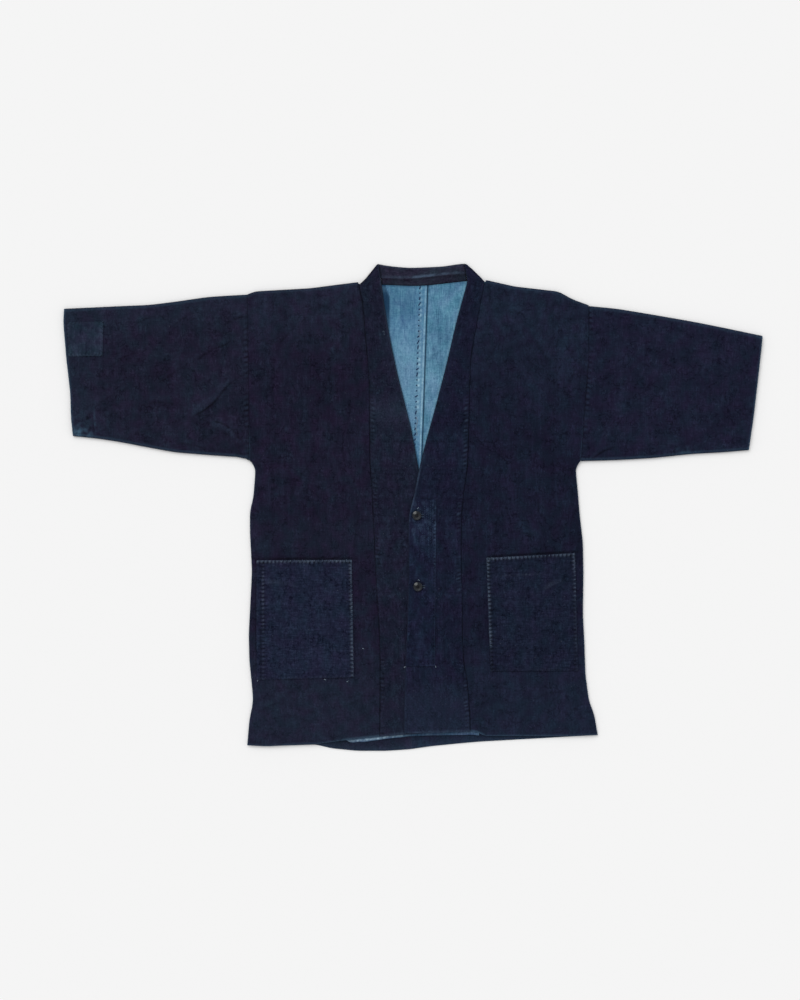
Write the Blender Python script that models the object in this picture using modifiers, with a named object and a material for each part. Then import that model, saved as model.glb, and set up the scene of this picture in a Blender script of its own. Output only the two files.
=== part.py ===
"""A noragi, an indigo work jacket of stitched cotton, lying flat with its front upwards.

Sizes are millimetres: x runs across the jacket, y from the hem to the collar and z up from the surface that it
lies on. Right and left are the wearer's, so the right side lies at minus x. Each cut piece is one closed wall of
cloth, and pieces stand SEAM apart where they are sewn together.
"""

import math
from collections import namedtuple

import bmesh
import bpy
import numpy as np

MM = 0.001

# Cloths: the thickness of each wall, and the room between walls that lie on each other or meet at a seam.
CLOTH = 1.6
LINING = 1.0
BAND_CLOTH = 1.3
PATCH_CLOTH = 1.0
RIM_CLOTH = 1.2
SEAM = 0.3
LAY = 0.3

# Heights of the walls' middles. The back lies on the ground, the lining on it, and the fronts on both.
BACK_MID = CLOTH / 2
LINING_MID = CLOTH + LAY + LINING / 2
FRONT_MID = 4.4
EDGE_MID = CLOTH + LAY + CLOTH / 2
HEM_MID = 4.2
RIM_MID = CLOTH + LAY + RIM_CLOTH / 2
BAND_LOW_MID = CLOTH + LAY + LINING + 0.4 + BAND_CLOTH / 2
BAND_STEP = BAND_CLOTH + LAY
BAND_TOP = BAND_LOW_MID + BAND_STEP + BAND_CLOTH / 2
OVERLAP_RISE = 2 * BAND_CLOTH + 2 * LAY
COLLAR_LOW_MID = BAND_CLOTH / 2
FOLD_RADIUS = (FRONT_MID - BACK_MID) / 2
FOLD_REACH = FOLD_RADIUS + CLOTH / 2
BAND_FOLD = BAND_STEP / 2
BAND_REACH = BAND_FOLD + BAND_CLOTH / 2

# Spacing of the walls' rows and columns, as shares of their length where they don't say millimetres.
FRONT_STEP = 0.045
FRONT_COLUMN_STEP = 0.12
ROLL_COLUMNS = (0.35, 0.7, 1.1)
HEM_CALM_SHARE = 0.04
BACK_ROWS = [2.0, 2.12, 2.5, 2.7, 2.85, 3.0]
LINING_COLUMNS = [0.0, 0.1, 0.35, 0.7, 1.0, 1.25, 1.5, 1.75, 2.0]
LINING_STEP = 0.06
SLEEVE_STEP = 0.067
SLEEVE_ROUND_STEP = 0.075
SLEEVE_BACK_ROWS = [2.0, 2.35, 2.7, 3.0]
BAND_STEP_MM = 42.0
COLLAR_STEP = 0.13
SETTLE_ROUNDS = 6

# The bands' seams end below this height, at the neck. A panel has one more row this far below the underarm.
FRONT_TOP_ROW = 367.0
UNDERARM_ROOM = 7.0

# How far the cloth takes to settle at an edge, at the ledge over the under band, and behind the neck.
EDGE_ROLL = 10.0
HEM_ROLL = 30.0
LEDGE_RUN = 16.0
NECK_RUN = 11.0
FOLD_CALM = 14.0

# The slow swell of the upper cloth: its height, and the spans over which it comes and goes.
SWELL = 0.35
SWELL_ACROSS = 41
SWELL_SWAY = 83
SWELL_UP = 57
SWELL_SLANT = 130

# The lining stops inside the side seams, and above the back hem, which is turned up inside.
LINING_INSET = 12.0
HEM_TURN = 42.0
LINING_SHORT = 1.0

Edge = namedtuple("Edge", "y x")
Line = namedtuple("Line", "x y")
Band = namedtuple("Band", "seam_x seam_y free_x free_y ledge_x")
Sleeve = namedtuple("Sleeve", "x top bottom")
Crease = namedtuple("Crease", "x0 y0 x1 y1 width height")
Patch = namedtuple("Patch", "left right bottom top")

# Side of each body panel from the hem up: side seam, underarm, then armhole.
SIDE_RIGHT = [
    Edge(-392.5, -273.4), Edge(-350.5, -269.9), Edge(-323.6, -264.2), Edge(-310.0, -264.2),
    Edge(-252.8, -269.9), Edge(-209.0, -270.9), Edge(-158.6, -268.3), Edge(-104.6, -265.7),
    Edge(-40.6, -269.0), Edge(-6.9, -269.0), Edge(16.8, -263.2), Edge(60.4, -259.9),
    Edge(70.5, -261.5), Edge(77.0, -269.9), Edge(351.0, -273.0),
]
SIDE_LEFT = [
    Edge(-376.0, 304.6), Edge(-340.4, 298.5), Edge(-320.0, 290.1), Edge(-276.4, 284.3),
    Edge(-225.9, 282.6), Edge(-175.4, 280.0), Edge(-108.0, 281.0), Edge(-57.4, 280.0),
    Edge(-13.7, 274.9), Edge(26.7, 271.6), Edge(60.0, 268.3), Edge(67.7, 268.3),
    Edge(76.0, 276.4), Edge(246.3, 289.6), Edge(333.0, 289.6),
]

# Where the two body panels meet, from the hem to the neck.
CENTRE_SEAM = [Edge(-402.0, -2.0), Edge(92.0, 14.7), Edge(366.0, 24.0)]

# The fold over the shoulders, the neck seam and the two hems, from right to left.
SHOULDER = [
    Line(-273.9, 350.6), Line(-260.2, 356.0), Line(-170.6, 361.0), Line(-92.7, 371.0),
    Line(119.5, 374.9), Line(167.5, 364.0), Line(239.9, 355.7), Line(262.5, 343.0), Line(289.7, 333.0),
]
NECK = [
    Line(-90.3, 368.4), Line(-52.0, 367.3), Line(-19.3, 365.8), Line(3.5, 365.1), Line(24.0, 366.0),
    Line(56.9, 369.6), Line(89.8, 373.5), Line(119.8, 372.2),
]
HEM_FRONT = [
    Line(-273.4, -392.5), Line(-241.4, -394.2), Line(-190.9, -391.5), Line(-160.5, -390.5),
    Line(-137.0, -387.4), Line(-112.0, -384.0), Line(-66.0, -379.2), Line(-13.2, -372.6),
    Line(28.0, -370.9), Line(106.0, -370.0), Line(116.0, -377.0), Line(250.0, -377.0), Line(304.6, -375.7),
]
HEM_BACK = [
    Line(-273.4, -392.5), Line(-241.4, -394.2), Line(-160.5, -391.5), Line(-133.7, -397.7),
    Line(-93.0, -401.7), Line(-46.0, -401.9), Line(-5.6, -399.3), Line(29.0, -394.2),
    Line(79.5, -389.2), Line(112.0, -386.4), Line(214.5, -380.8), Line(304.6, -375.7),
]

# The collar bands from the hem to the neck corner. The ledge is where the left band comes down off the right one.
BAND_RIGHT = [
    Band(-54.9, -377.6, 42.0, -371.0, 0.0), Band(-54.2, -266.0, 38.0, -266.0, 0.0),
    Band(-54.8, -215.0, 36.0, -215.0, 0.0), Band(-57.8, -165.0, 34.0, -165.0, 0.0),
    Band(-60.3, -125.0, 32.0, -125.0, 0.0), Band(-64.0, -50.8, 26.0, -50.8, 0.0),
    Band(-67.3, 25.7, 16.0, 25.7, 0.0), Band(-70.5, 67.2, 8.3, 67.2, 0.0),
    Band(-71.3, 95.4, 3.2, 95.4, 0.0), Band(-71.3, 129.4, -3.3, 129.4, 0.0),
    Band(-71.3, 165.0, -12.2, 165.0, 0.0), Band(-72.7, 220.9, -26.2, 220.9, 0.0),
    Band(-78.2, 276.7, -38.0, 276.7, 0.0), Band(-82.5, 332.5, -47.1, 332.5, 0.0),
    Band(-89.5, 366.0, -51.8, 366.5, 0.0), Band(-84.5, 370.5, -52.4, 373.5, 0.0),
    Band(-79.0, 376.0, -53.4, 380.0, 0.0), Band(-71.0, 386.0, -55.0, 390.0, 0.0),
    Band(-60.0, 399.5, -57.0, 401.8, 0.0),
]
BAND_LEFT = [
    Band(94.2, -370.2, -15.0, -372.6, 45.0), Band(93.0, -336.0, -14.8, -336.0, 45.0),
    Band(89.5, -287.0, -14.0, -287.0, 44.0), Band(83.3, -254.0, -12.6, -254.0, 42.0),
    Band(81.0, -209.0, -10.2, -209.0, 42.0), Band(81.2, -153.0, -8.4, -153.0, 42.0),
    Band(79.5, -100.0, -7.5, -100.0, 42.0), Band(79.2, -57.4, -7.8, -57.4, 42.0),
    Band(79.8, -13.5, -7.2, -13.5, 42.0), Band(82.7, 20.0, 1.8, 20.0, 41.0),
    Band(86.2, 44.0, 6.4, 44.0, 36.0), Band(89.7, 67.5, 11.0, 67.5, 25.0),
    Band(91.1, 109.4, 21.5, 109.4, 9.0), Band(92.6, 165.0, 36.9, 165.0, 9.0),
    Band(93.9, 221.0, 51.4, 221.0, 9.0), Band(95.4, 248.8, 58.3, 248.8, 9.0),
    Band(105.1, 304.6, 71.0, 304.6, 9.0), Band(116.4, 366.0, 88.2, 366.5, 9.0),
    Band(118.4, 371.0, 89.4, 374.5, 9.0), Band(110.4, 380.0, 87.8, 382.0, 9.0),
    Band(99.7, 390.6, 85.8, 391.5, 9.0), Band(88.4, 400.6, 84.0, 401.8, 9.0),
]
LEDGE_SHARES = [0.0, 0.35, 0.6, 1.0]
LEDGE_MOST = 0.85
FOOT_MOST = 0.62
BAND_COLUMNS = [0.0, 0.175, 0.35, 0.41, 0.475, 0.54, 0.6, 0.8, 1.0]
COLLAR_TOP = [
    Line(-57.0, 401.0), Line(-50.0, 399.3), Line(-27.0, 396.3), Line(-4.0, 394.7), Line(18.8, 395.5),
    Line(49.3, 397.0), Line(76.7, 401.2), Line(84.0, 401.5),
]
COLLAR_CREASE = [Line(-57.0, 381.0), Line(-4.0, 379.8), Line(26.4, 383.0), Line(56.9, 386.4), Line(84.0, 388.0)]
COLLAR_LIP = 0.8
COLLAR_LIP_RUN = 2.5
COLLAR_LIP_END = 8.0
MITRE_RIGHT = [Edge(366.0, -51.4), Edge(374.0, -52.1), Edge(402.0, -56.6)]
MITRE_LEFT = [Edge(366.0, 87.9), Edge(374.0, 89.0), Edge(402.0, 83.5)]

# The sleeves from the armhole to the cuff, and their cuff and armhole lines.
SLEEVE_RIGHT = [
    Sleeve(-270.0, 350.6, 77.0), Sleeve(-279.7, 350.4, 82.0), Sleeve(-338.0, 346.8, 86.0),
    Sleeve(-392.7, 338.8, 90.4), Sleeve(-435.4, 333.5, 98.3), Sleeve(-486.0, 331.5, 108.0),
    Sleeve(-516.0, 330.0, 112.6), Sleeve(-576.3, 327.2, 118.9),
]
SLEEVE_LEFT = [
    Sleeve(276.2, 333.0, 76.0), Sleeve(335.0, 327.5, 77.5), Sleeve(394.0, 317.8, 80.8),
    Sleeve(461.7, 306.0, 87.9), Sleeve(506.9, 297.0, 90.2), Sleeve(576.3, 282.5, 96.0),
]
ARMHOLE_RIGHT = [Edge(77.0, -269.9), Edge(351.0, -273.0)]
ARMHOLE_LEFT = [Edge(76.0, 276.4), Edge(246.3, 289.6), Edge(333.0, 289.6)]
CUFF_RIGHT = [
    Edge(118.5, -560.8), Edge(148.8, -564.0), Edge(187.8, -565.0), Edge(246.2, -571.7),
    Edge(304.6, -576.5), Edge(327.2, -575.2),
]
CUFF_LEFT = [
    Edge(92.4, 553.1), Edge(146.7, 561.2), Edge(223.7, 570.2), Edge(278.0, 576.0), Edge(283.0, 576.0),
]

# What is sewn on. The pockets lean a little, so each edge has its own slope below.
POCKET_RIGHT = Patch(-258.0, -99.0, -282.5, -87.0)
POCKET_LEFT = Patch(124.1, 269.6, -270.0, -79.4)
POCKET_LEAN_RIGHT = Patch(0.0, 3.5, 4.0, 0.9)
POCKET_LEAN_LEFT = Patch(6.6, 5.0, 0.5, 8.0)
POCKET_PUFF = 1.2
POCKET_CELLS = (9, 11)
CUFF_PATCH = Patch(-568.8, -510.8, 248.6, 305.6)
CUFF_PATCH_LEAN = Patch(1.9, -1.1, 1.3, 1.0)
CUFF_PATCH_CELLS = (4, 4)
PATCH_FULLNESS = 0.8
STAND_BOTTOM = Line(36.0, -262.0)
STAND_TOP = Line(38.5, 14.0)
STAND_INSET = 1.2
STAND_COLUMN_STEP = 0.34
STAND_ROW_STEP = 0.05

# The cloth is flat under each of them, and this far round it, and settles over the edge.
CALM_ROOM = 4.0
CALM_EDGE = 9.0

Button = namedtuple("Button", "name x y")
BUTTONS = [Button("button_upper", 6.1, -13.7), Button("button_lower", 7.9, -130.8)]
BUTTON_RADIUS = 7.5
BUTTON_HEIGHT = 3.2
BUTTON_DISH = 0.9
BUTTON_RIM = 1.2
BUTTON_HOLE = 0.9
BUTTON_HOLE_PITCH = 1.55
BUTTON_STEPS = 20
HOLE_SIDES = 8
RIM_SHOW = 6.0
RIM_TUCK = 8.0
RIM_ENDS = (-110.0, 109.0)

# The largest creases of the upper cloth, ridges of the given half width and height.
CREASES = [
    Crease(-360, 158, -303, 211, 15, 2.0), Crease(-303, 211, -268, 226, 12, 1.4),
    Crease(-354, 250, -311, 272, 14, 1.3), Crease(-322, 135, -291, 116, 12, 1.5),
    Crease(-299, 306, -240, 314, 13, 1.3), Crease(-443, 174, -397, 176, 16, 1.1),
    Crease(-500, 238, -452, 262, 18, 1.0), Crease(-221, 278, -190, 317, 15, 1.5),
    Crease(-150, 336, -112, 322, 12, 1.0), Crease(-205, 20, -180, 66, 16, 1.2),
    Crease(-130, -330, -96, -318, 14, 0.9), Crease(197, 247, 218, 207, 14, 1.5),
    Crease(150, 318, 184, 303, 12, 1.2), Crease(227, 142, 229, 96, 12, 1.1),
    Crease(159, -36, 198, -45, 12, 1.2), Crease(204, 30, 211, -6, 12, 1.2),
    Crease(300, 96, 334, 114, 12, 1.5), Crease(322, 196, 372, 214, 16, 1.4),
    Crease(420, 142, 462, 170, 18, 1.1), Crease(486, 250, 520, 232, 16, 1.0),
]

Finish = namedtuple("Finish", "red green blue roughness")
INDIGO = Finish(27, 29, 46, 0.93)
INDIGO_WORN = Finish(29, 36, 54, 0.93)
COLLAR_INSIDE = Finish(38, 42, 55, 0.93)
LINING_BLUE = Finish(86, 126, 154, 0.9)
LINING_TEAL = Finish(92, 134, 156, 0.9)
RIM_BLUE = Finish(70, 92, 114, 0.9)
SLEEVE_MEND = Finish(36, 45, 62, 0.93)
BUTTON_BROWN = Finish(46, 48, 52, 0.45)


def clear_scene():
    """Removes what Blender starts with, so that the jacket is all there is."""
    for item in list(bpy.data.objects):
        bpy.data.objects.remove(item, do_unlink=True)


def smooth(value):
    """An S-curve from 0 to 1, flat at both ends."""
    t = min(max(value, 0.0), 1.0)
    return t * t * (3 - 2 * t)


def x_at(edge, y):
    """The x of an upright edge at height y up the jacket."""
    return float(np.interp(y, [row.y for row in edge], [row.x for row in edge]))


def y_at(line, x):
    """The y of a line that runs across the jacket."""
    return float(np.interp(x, [row.x for row in line], [row.y for row in line]))


def sleeve_line(rows, x, column):
    """The y of a sleeve's top or bottom edge, for either direction of its rows."""
    rows = sorted(rows)
    return float(np.interp(x, [row.x for row in rows], [getattr(row, column) for row in rows]))


def patch_point(patch, lean, across, up):
    """A point of a four-sided patch whose edges lean by lean from one end to the other."""
    left = patch.left + lean.left * (0.5 - up)
    right = patch.right + lean.right * (0.5 - up)
    bottom = patch.bottom + lean.bottom * (across - 0.5)
    top = patch.top + lean.top * (across - 0.5)
    return left + (right - left) * across, bottom + (top - bottom) * up


def calm(x, y):
    """1 on open cloth and 0 under whatever is sewn on it, where the cloth lies quite flat."""
    value = 1.0
    for patch in (POCKET_RIGHT, POCKET_LEFT, CUFF_PATCH):
        outside = max(patch.left - x, x - patch.right, patch.bottom - y, y - patch.top) - CALM_ROOM
        value = min(value, smooth(outside / CALM_EDGE))
    return value


def relief(x, y):
    """Height of the upper cloth over its plain level: a slow swell and the creases."""
    swell = math.sin(x / SWELL_ACROSS + math.sin(y / SWELL_SWAY)) * math.sin(y / SWELL_UP - x / SWELL_SLANT)
    height = SWELL * (swell + 0.5)
    for crease in CREASES:
        run_x, run_y = crease.x1 - crease.x0, crease.y1 - crease.y0
        along = ((x - crease.x0) * run_x + (y - crease.y0) * run_y) / (run_x ** 2 + run_y ** 2)
        along = min(max(along, 0.0), 1.0)
        away = math.hypot(x - crease.x0 - along * run_x, y - crease.y0 - along * run_y)
        height += crease.height * smooth(1 - away / crease.width)
    return height * calm(x, y)


def front_height(x, y, side, hem_y, fold_y, underarm_y):
    """Middle of a front's wall: it comes down to the back at the side seam and towards the hem."""
    inward = abs(side) - abs(x)
    height = FRONT_MID + relief(x, y) * smooth((fold_y - y) / FOLD_CALM)
    height = HEM_MID + (height - HEM_MID) * smooth((y - hem_y) / HEM_ROLL)
    closed = smooth((underarm_y - y) / EDGE_ROLL)
    drop = closed * (1 - smooth(inward / EDGE_ROLL))
    return height + (EDGE_MID - height) * drop


def band_rise(x, ledge_x):
    """How much the left band stands up on the right one at x, with its ledge at ledge_x."""
    return OVERLAP_RISE * smooth(1 - (x - ledge_x) / LEDGE_RUN)


def neck_drop(x, y):
    """How far the bands have come down behind the shoulders, where nothing lies under them."""
    return (BAND_LOW_MID - COLLAR_LOW_MID) * smooth((y - y_at(NECK, x) - 0.6) / NECK_RUN)


def spaced(stops, step):
    """Positions through every stop, with no more than step between neighbours."""
    values = [stops[0]]
    for low, high in zip(stops[:-1], stops[1:]):
        count = max(1, math.ceil(abs(high - low) / step - 1e-6))
        values += [low + (high - low) * k / count for k in range(1, count + 1)]
    return values


def blended(stops, fill):
    """The stops in order, with those of fill that aren't close to one of them."""
    room = FRONT_STEP / 3
    extra = [value for value in fill if min(abs(value - stop) for stop in stops) > room]
    return sorted(set(stops + extra))


def finish_material(name, finish):
    """A plain Principled material of the finish's colour."""
    material = bpy.data.materials.new(name)
    material.use_nodes = True
    shader = material.node_tree.nodes["Principled BSDF"]
    linear = [((c / 255 + 0.055) / 1.055) ** 2.4 for c in (finish.red, finish.green, finish.blue)]
    shader.inputs["Base Color"].default_value = (*linear, 1.0)
    shader.inputs["Roughness"].default_value = finish.roughness
    shader.inputs["Metallic"].default_value = 0.0
    return material


def wall(name, columns, rows, place, thickness, finish, keep=None):
    """One cloth wall: a grid laid out by place(column, row) in millimetres, then thickened on both sides."""
    mesh = bpy.data.meshes.new(name)
    bm = bmesh.new()
    bmesh.ops.create_grid(bm, x_segments=len(columns) - 1, y_segments=len(rows) - 1, size=1.0)
    spots = {}
    for vert in bm.verts:
        i = round((vert.co.x + 1) / 2 * (len(columns) - 1))
        j = round((vert.co.y + 1) / 2 * (len(rows) - 1))
        spots[vert] = (columns[i], rows[j])
    if keep:
        spare = [f for f in bm.faces if not keep(*np.mean([spots[v] for v in f.verts], axis=0))]
        bmesh.ops.delete(bm, geom=spare, context="FACES")
    for vert in bm.verts:
        vert.co = [value * MM for value in place(*spots[vert])]
    bmesh.ops.remove_doubles(bm, verts=bm.verts, dist=0.00001)
    bm.to_mesh(mesh)
    bm.free()
    mesh.shade_smooth()
    item = bpy.data.objects.new(name, mesh)
    PIECES.objects.link(item)
    item.data.materials.append(finish_material(name + "_cloth", finish))
    shell = item.modifiers.new("thickness", "SOLIDIFY")
    shell.thickness = thickness * MM
    shell.offset = 0.0
    shell.use_even_offset = True
    shading = item.modifiers.new("crisp edges", "WEIGHTED_NORMAL")
    shading.weight = 100
    return item


def body_panel(name, side, band, armhole, neck_corner):
    """One loom width: the front, the fold over the shoulder, and the back with its part behind the neck."""
    sign = math.copysign(1.0, neck_corner)
    underarm_y = armhole[0].y
    seam = [row for row in band if row.seam_y < FRONT_TOP_ROW]
    opening = [Edge(row.seam_y, row.seam_x + sign * SEAM) for row in seam]
    opening.append(Edge(y_at(SHOULDER, neck_corner) - FOLD_REACH, neck_corner))

    def level(x):
        return y_at(SHOULDER, x) - FOLD_REACH

    def front(across, up):
        y = underarm_y
        for _ in range(SETTLE_ROUNDS):
            outer = x_at(side, y)
            inner = x_at(opening, y)
            x = outer + (inner - outer) * across
            hem = y_at(HEM_FRONT, x)
            y = hem + (level(x) - hem) * up
        return x, y, front_height(x, y, outer, hem, level(x), underarm_y)

    def back(across, down):
        y = underarm_y
        for _ in range(SETTLE_ROUNDS):
            if across <= 1:
                outer = x_at(side, y)
                x = outer + (neck_corner - outer) * across
                top = level(x)
            else:
                centre = x_at(CENTRE_SEAM, y) + sign * SEAM / 2
                x = neck_corner + (centre - neck_corner) * (across - 1)
                top = y_at(NECK, x) - SEAM / 2
            y = top + (y_at(HEM_BACK, x) - top) * down
        return x, y, BACK_MID

    def place(across, along):
        if along <= 1:
            return front(min(across, 1.0), along)
        if along >= 2:
            return back(across, along - 2)
        x, y, _ = back(min(across, 1.0), 0.0)
        turn = math.pi * (along - 1)
        middle = (FRONT_MID + BACK_MID) / 2
        return x, y + FOLD_RADIUS * math.sin(turn), middle + FOLD_RADIUS * math.cos(turn)

    def share(edge_point):
        hem = y_at(HEM_FRONT, edge_point.x)
        return (edge_point.y - hem) / (level(edge_point.x) - hem)

    below_underarm = share(Edge(underarm_y - UNDERARM_ROOM, side[-3].x))
    stops = [share(point) for point in opening + armhole[:-1]] + [below_underarm]
    edge = EDGE_ROLL / abs(side[-1].x - neck_corner)
    columns = [0.0] + [edge * part for part in ROLL_COLUMNS] + spaced([edge * 2, 1.0], FRONT_COLUMN_STEP)
    columns += [1 + (row.x - neck_corner) / (CENTRE_SEAM[-1].x - neck_corner) for row in NECK if
                min(neck_corner, CENTRE_SEAM[-1].x) < row.x < max(neck_corner, CENTRE_SEAM[-1].x)]
    rows = blended(stops + [0.0, 1.0], spaced([HEM_CALM_SHARE, 1 - HEM_CALM_SHARE / 2], FRONT_STEP))
    rows += [1 + k / 6 for k in range(1, 6)] + BACK_ROWS
    rows += [3 - share(point) for point in armhole[:-1]] + [3 - below_underarm]
    return wall(
        name, sorted(columns) + [2.0], sorted(rows), place, CLOTH, INDIGO, keep=lambda a, s: a < 1 or s > 2
    )


def lining_panel(name, side, neck_corner, finish):
    """The lining of one back panel, from the neck seam down to the turned-up hem."""
    sign = math.copysign(1.0, neck_corner)

    def place(across, down):
        y = 0.0
        for _ in range(SETTLE_ROUNDS):
            if across <= 1:
                outer = x_at(side, y) - sign * LINING_INSET
                x = outer + (neck_corner - outer) * across
                top = y_at(SHOULDER, x) - FOLD_REACH - LINING_SHORT
            else:
                centre = x_at(CENTRE_SEAM, y) + sign * SEAM / 2
                x = neck_corner + (centre - neck_corner) * (across - 1)
                top = y_at(NECK, x) - LINING_SHORT
            y = top + (y_at(HEM_BACK, x) + HEM_TURN - top) * down
        return x, y, LINING_MID

    return wall(name, LINING_COLUMNS, spaced([0.0, 1.0], LINING_STEP), place, LINING, finish)


def sleeve_tube(name, rows, armhole, cuff):
    """A sleeve: a flattened tube, its upper cloth over its lower, with a fold along the top and the bottom."""
    sign = math.copysign(1.0, rows[0].x)
    middle = (FRONT_MID + BACK_MID) / 2

    def place(along, around):
        x = rows[0].x
        for _ in range(SETTLE_ROUNDS):
            top = sleeve_line(rows, x, "top") - FOLD_REACH
            bottom = sleeve_line(rows, x, "bottom") + FOLD_REACH
            if around <= 1:
                y = bottom + (top - bottom) * around
            elif around <= 2:
                y = top
            elif around <= 3:
                y = top + (bottom - top) * (around - 2)
            else:
                y = bottom
            start = x_at(armhole, y) + sign * SEAM
            x = start + (x_at(cuff, y) - start) * along
        if around <= 1:
            edge = min(y - bottom, top - y)
            z = FRONT_MID + relief(x, y) * smooth(edge / FOLD_CALM)
            return x, y, z
        if around <= 2:
            turn = math.pi * (around - 1)
            return x, y + FOLD_RADIUS * math.sin(turn), middle + FOLD_RADIUS * math.cos(turn)
        if around <= 3:
            return x, y, BACK_MID
        turn = math.pi * (around - 3)
        return x, y - FOLD_RADIUS * math.sin(turn), middle - FOLD_RADIUS * math.cos(turn)

    low, high = rows[0].bottom + FOLD_REACH, rows[0].top - FOLD_REACH
    bends = [(point.y - low) / (high - low) for point in armhole[1:-1]]
    calm_part = FOLD_CALM / (high - low)
    around = spaced([0.0, calm_part] + bends + [1 - calm_part, 1.0], SLEEVE_ROUND_STEP)
    around += [1 + k / 5 for k in range(1, 5)] + sorted(SLEEVE_BACK_ROWS + [3 - bend for bend in bends])
    around += [3 + k / 5 for k in range(1, 5)] + [4.0]
    return wall(name, spaced([0.0, 1.0], SLEEVE_STEP), around, place, CLOTH, INDIGO)


def collar_band(name, rows, laps):
    """A collar band doubled along its free edge, with its two raw edges in the seam."""
    count = len(rows)
    columns = {key: [getattr(row, key) for row in rows] for key in Band._fields}

    def row_at(along):
        return {key: float(np.interp(along, range(count), values)) for key, values in columns.items()}

    def place(across, along):
        row = row_at(along)
        reach = math.hypot(row["free_x"] - row["seam_x"], row["free_y"] - row["seam_y"])
        layer = across if across <= 1 else min(3.0 - across, 1.0)
        if laps:
            ledge = (row["seam_x"] - row["ledge_x"]) / reach
            foot = ledge - LEDGE_RUN / reach
            layer = float(np.interp(layer, LEDGE_SHARES, [0.0, min(foot, FOOT_MOST), min(ledge, LEDGE_MOST), 1.0]))
        part = layer * (1 - BAND_REACH / reach)
        x = row["seam_x"] + (row["free_x"] - row["seam_x"]) * part
        y = row["seam_y"] + (row["free_y"] - row["seam_y"]) * part
        z = BAND_LOW_MID - neck_drop(x, y) + (band_rise(x, row["ledge_x"]) if laps else 0.0)
        if across <= 1:
            return x, y, z
        if across >= 2:
            return x, y, z + BAND_STEP
        turn = math.pi * (across - 1)
        out = BAND_FOLD * math.sin(turn) / reach
        x += (row["free_x"] - row["seam_x"]) * out
        y += (row["free_y"] - row["seam_y"]) * out
        return x, y, z + BAND_FOLD * (1 - math.cos(turn))

    lower = spaced(LEDGE_SHARES, 0.21) if not laps else BAND_COLUMNS
    across = lower + [1 + k / 4 for k in range(1, 4)] + [3 - v for v in reversed(lower)]
    along = []
    for k in range(count - 1):
        length = abs(rows[k + 1].seam_y - rows[k].seam_y)
        pieces = max(1, round(length / BAND_STEP_MM))
        along += [k + step / pieces for step in range(pieces)]
    return wall(name, across, along + [count - 1], place, BAND_CLOTH, INDIGO)


def back_collar():
    """The doubled band behind the neck, its inner side upwards, with the worn crease along its middle."""

    def place(across, around):
        up = around if around <= 1 else min(3.0 - around, 1.0)
        x = 0.0
        y = 385.0
        for _ in range(SETTLE_ROUNDS):
            low, high = x_at(MITRE_RIGHT, y), x_at(MITRE_LEFT, y)
            x = low + (high - low) * across
            bottom = y_at(NECK, x) + SEAM / 2
            top = y_at(COLLAR_TOP, x) - BAND_REACH
            y = bottom + (top - bottom) * up
        if around <= 1:
            return x, y, COLLAR_LOW_MID
        if around >= 2:
            lip = COLLAR_LIP * smooth((y - y_at(COLLAR_CREASE, x)) / COLLAR_LIP_RUN + 0.5)
            lip *= smooth((top - y) / COLLAR_LIP_END)
            return x, y, COLLAR_LOW_MID + BAND_STEP + lip
        turn = math.pi * (around - 1)
        return x, y + BAND_FOLD * math.sin(turn), COLLAR_LOW_MID + BAND_FOLD * (1 - math.cos(turn))

    crease_part = [0.0, 0.25, 0.42, 0.47, 0.52, 0.57, 0.75, 0.88, 1.0]
    around = [0.0, 0.5, 1.0] + [1 + k / 4 for k in range(1, 4)] + [3 - v for v in reversed(crease_part)]
    low, high = MITRE_RIGHT[0].x, MITRE_LEFT[0].x
    bends = [(row.x - low) / (high - low) for row in NECK if low + 5 < row.x < high - 5]
    columns = spaced([0.0] + bends + [1.0], COLLAR_STEP)
    return wall("collar_back", columns, around, place, BAND_CLOTH, COLLAR_INSIDE)


def hem_rim():
    """The edge of the fronts' lining, rolled out a little below the hem."""

    def place(across, down):
        x = RIM_ENDS[0] + (RIM_ENDS[1] - RIM_ENDS[0]) * across
        hem = y_at(HEM_FRONT, min(x, RIM_ENDS[1] - 4))
        return x, hem + RIM_TUCK - (RIM_TUCK + RIM_SHOW) * down, RIM_MID

    return wall("hem_rim", spaced([0.0, 1.0], 0.06), [0.0, 0.4, 0.7, 1.0], place, RIM_CLOTH, RIM_BLUE)


def patch_on(name, patch, lean, level, puff, thickness, finish, cells):
    """A flat piece sewn on the cloth whose upper face lies at level, slightly full in its middle."""

    def place(across, up):
        x, y = patch_point(patch, lean, across, up)
        full = puff * (math.sin(math.pi * across) * math.sin(math.pi * up)) ** PATCH_FULLNESS
        return x, y, level + LAY + thickness / 2 + full

    columns, rows = cells
    return wall(name, spaced([0.0, 1.0], 1 / columns), spaced([0.0, 1.0], 1 / rows), place, thickness, finish)


def button_stand(level):
    """The strip behind the buttons, cut along the left band's free edge."""
    free_edge = [Edge(row.free_y, row.free_x) for row in BAND_LEFT]

    def place(across, up):
        y = STAND_BOTTOM.y + (STAND_TOP.y - STAND_BOTTOM.y) * up
        left = x_at(free_edge, y) + STAND_INSET
        right = STAND_BOTTOM.x + (STAND_TOP.x - STAND_BOTTOM.x) * up
        return left + (right - left) * across, y, level + LAY + PATCH_CLOTH / 2

    columns, rows = spaced([0.0, 1.0], STAND_COLUMN_STEP), spaced([0.0, 1.0], STAND_ROW_STEP)
    return wall("button_stand", columns, rows, place, PATCH_CLOTH, INDIGO_WORN)


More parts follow.
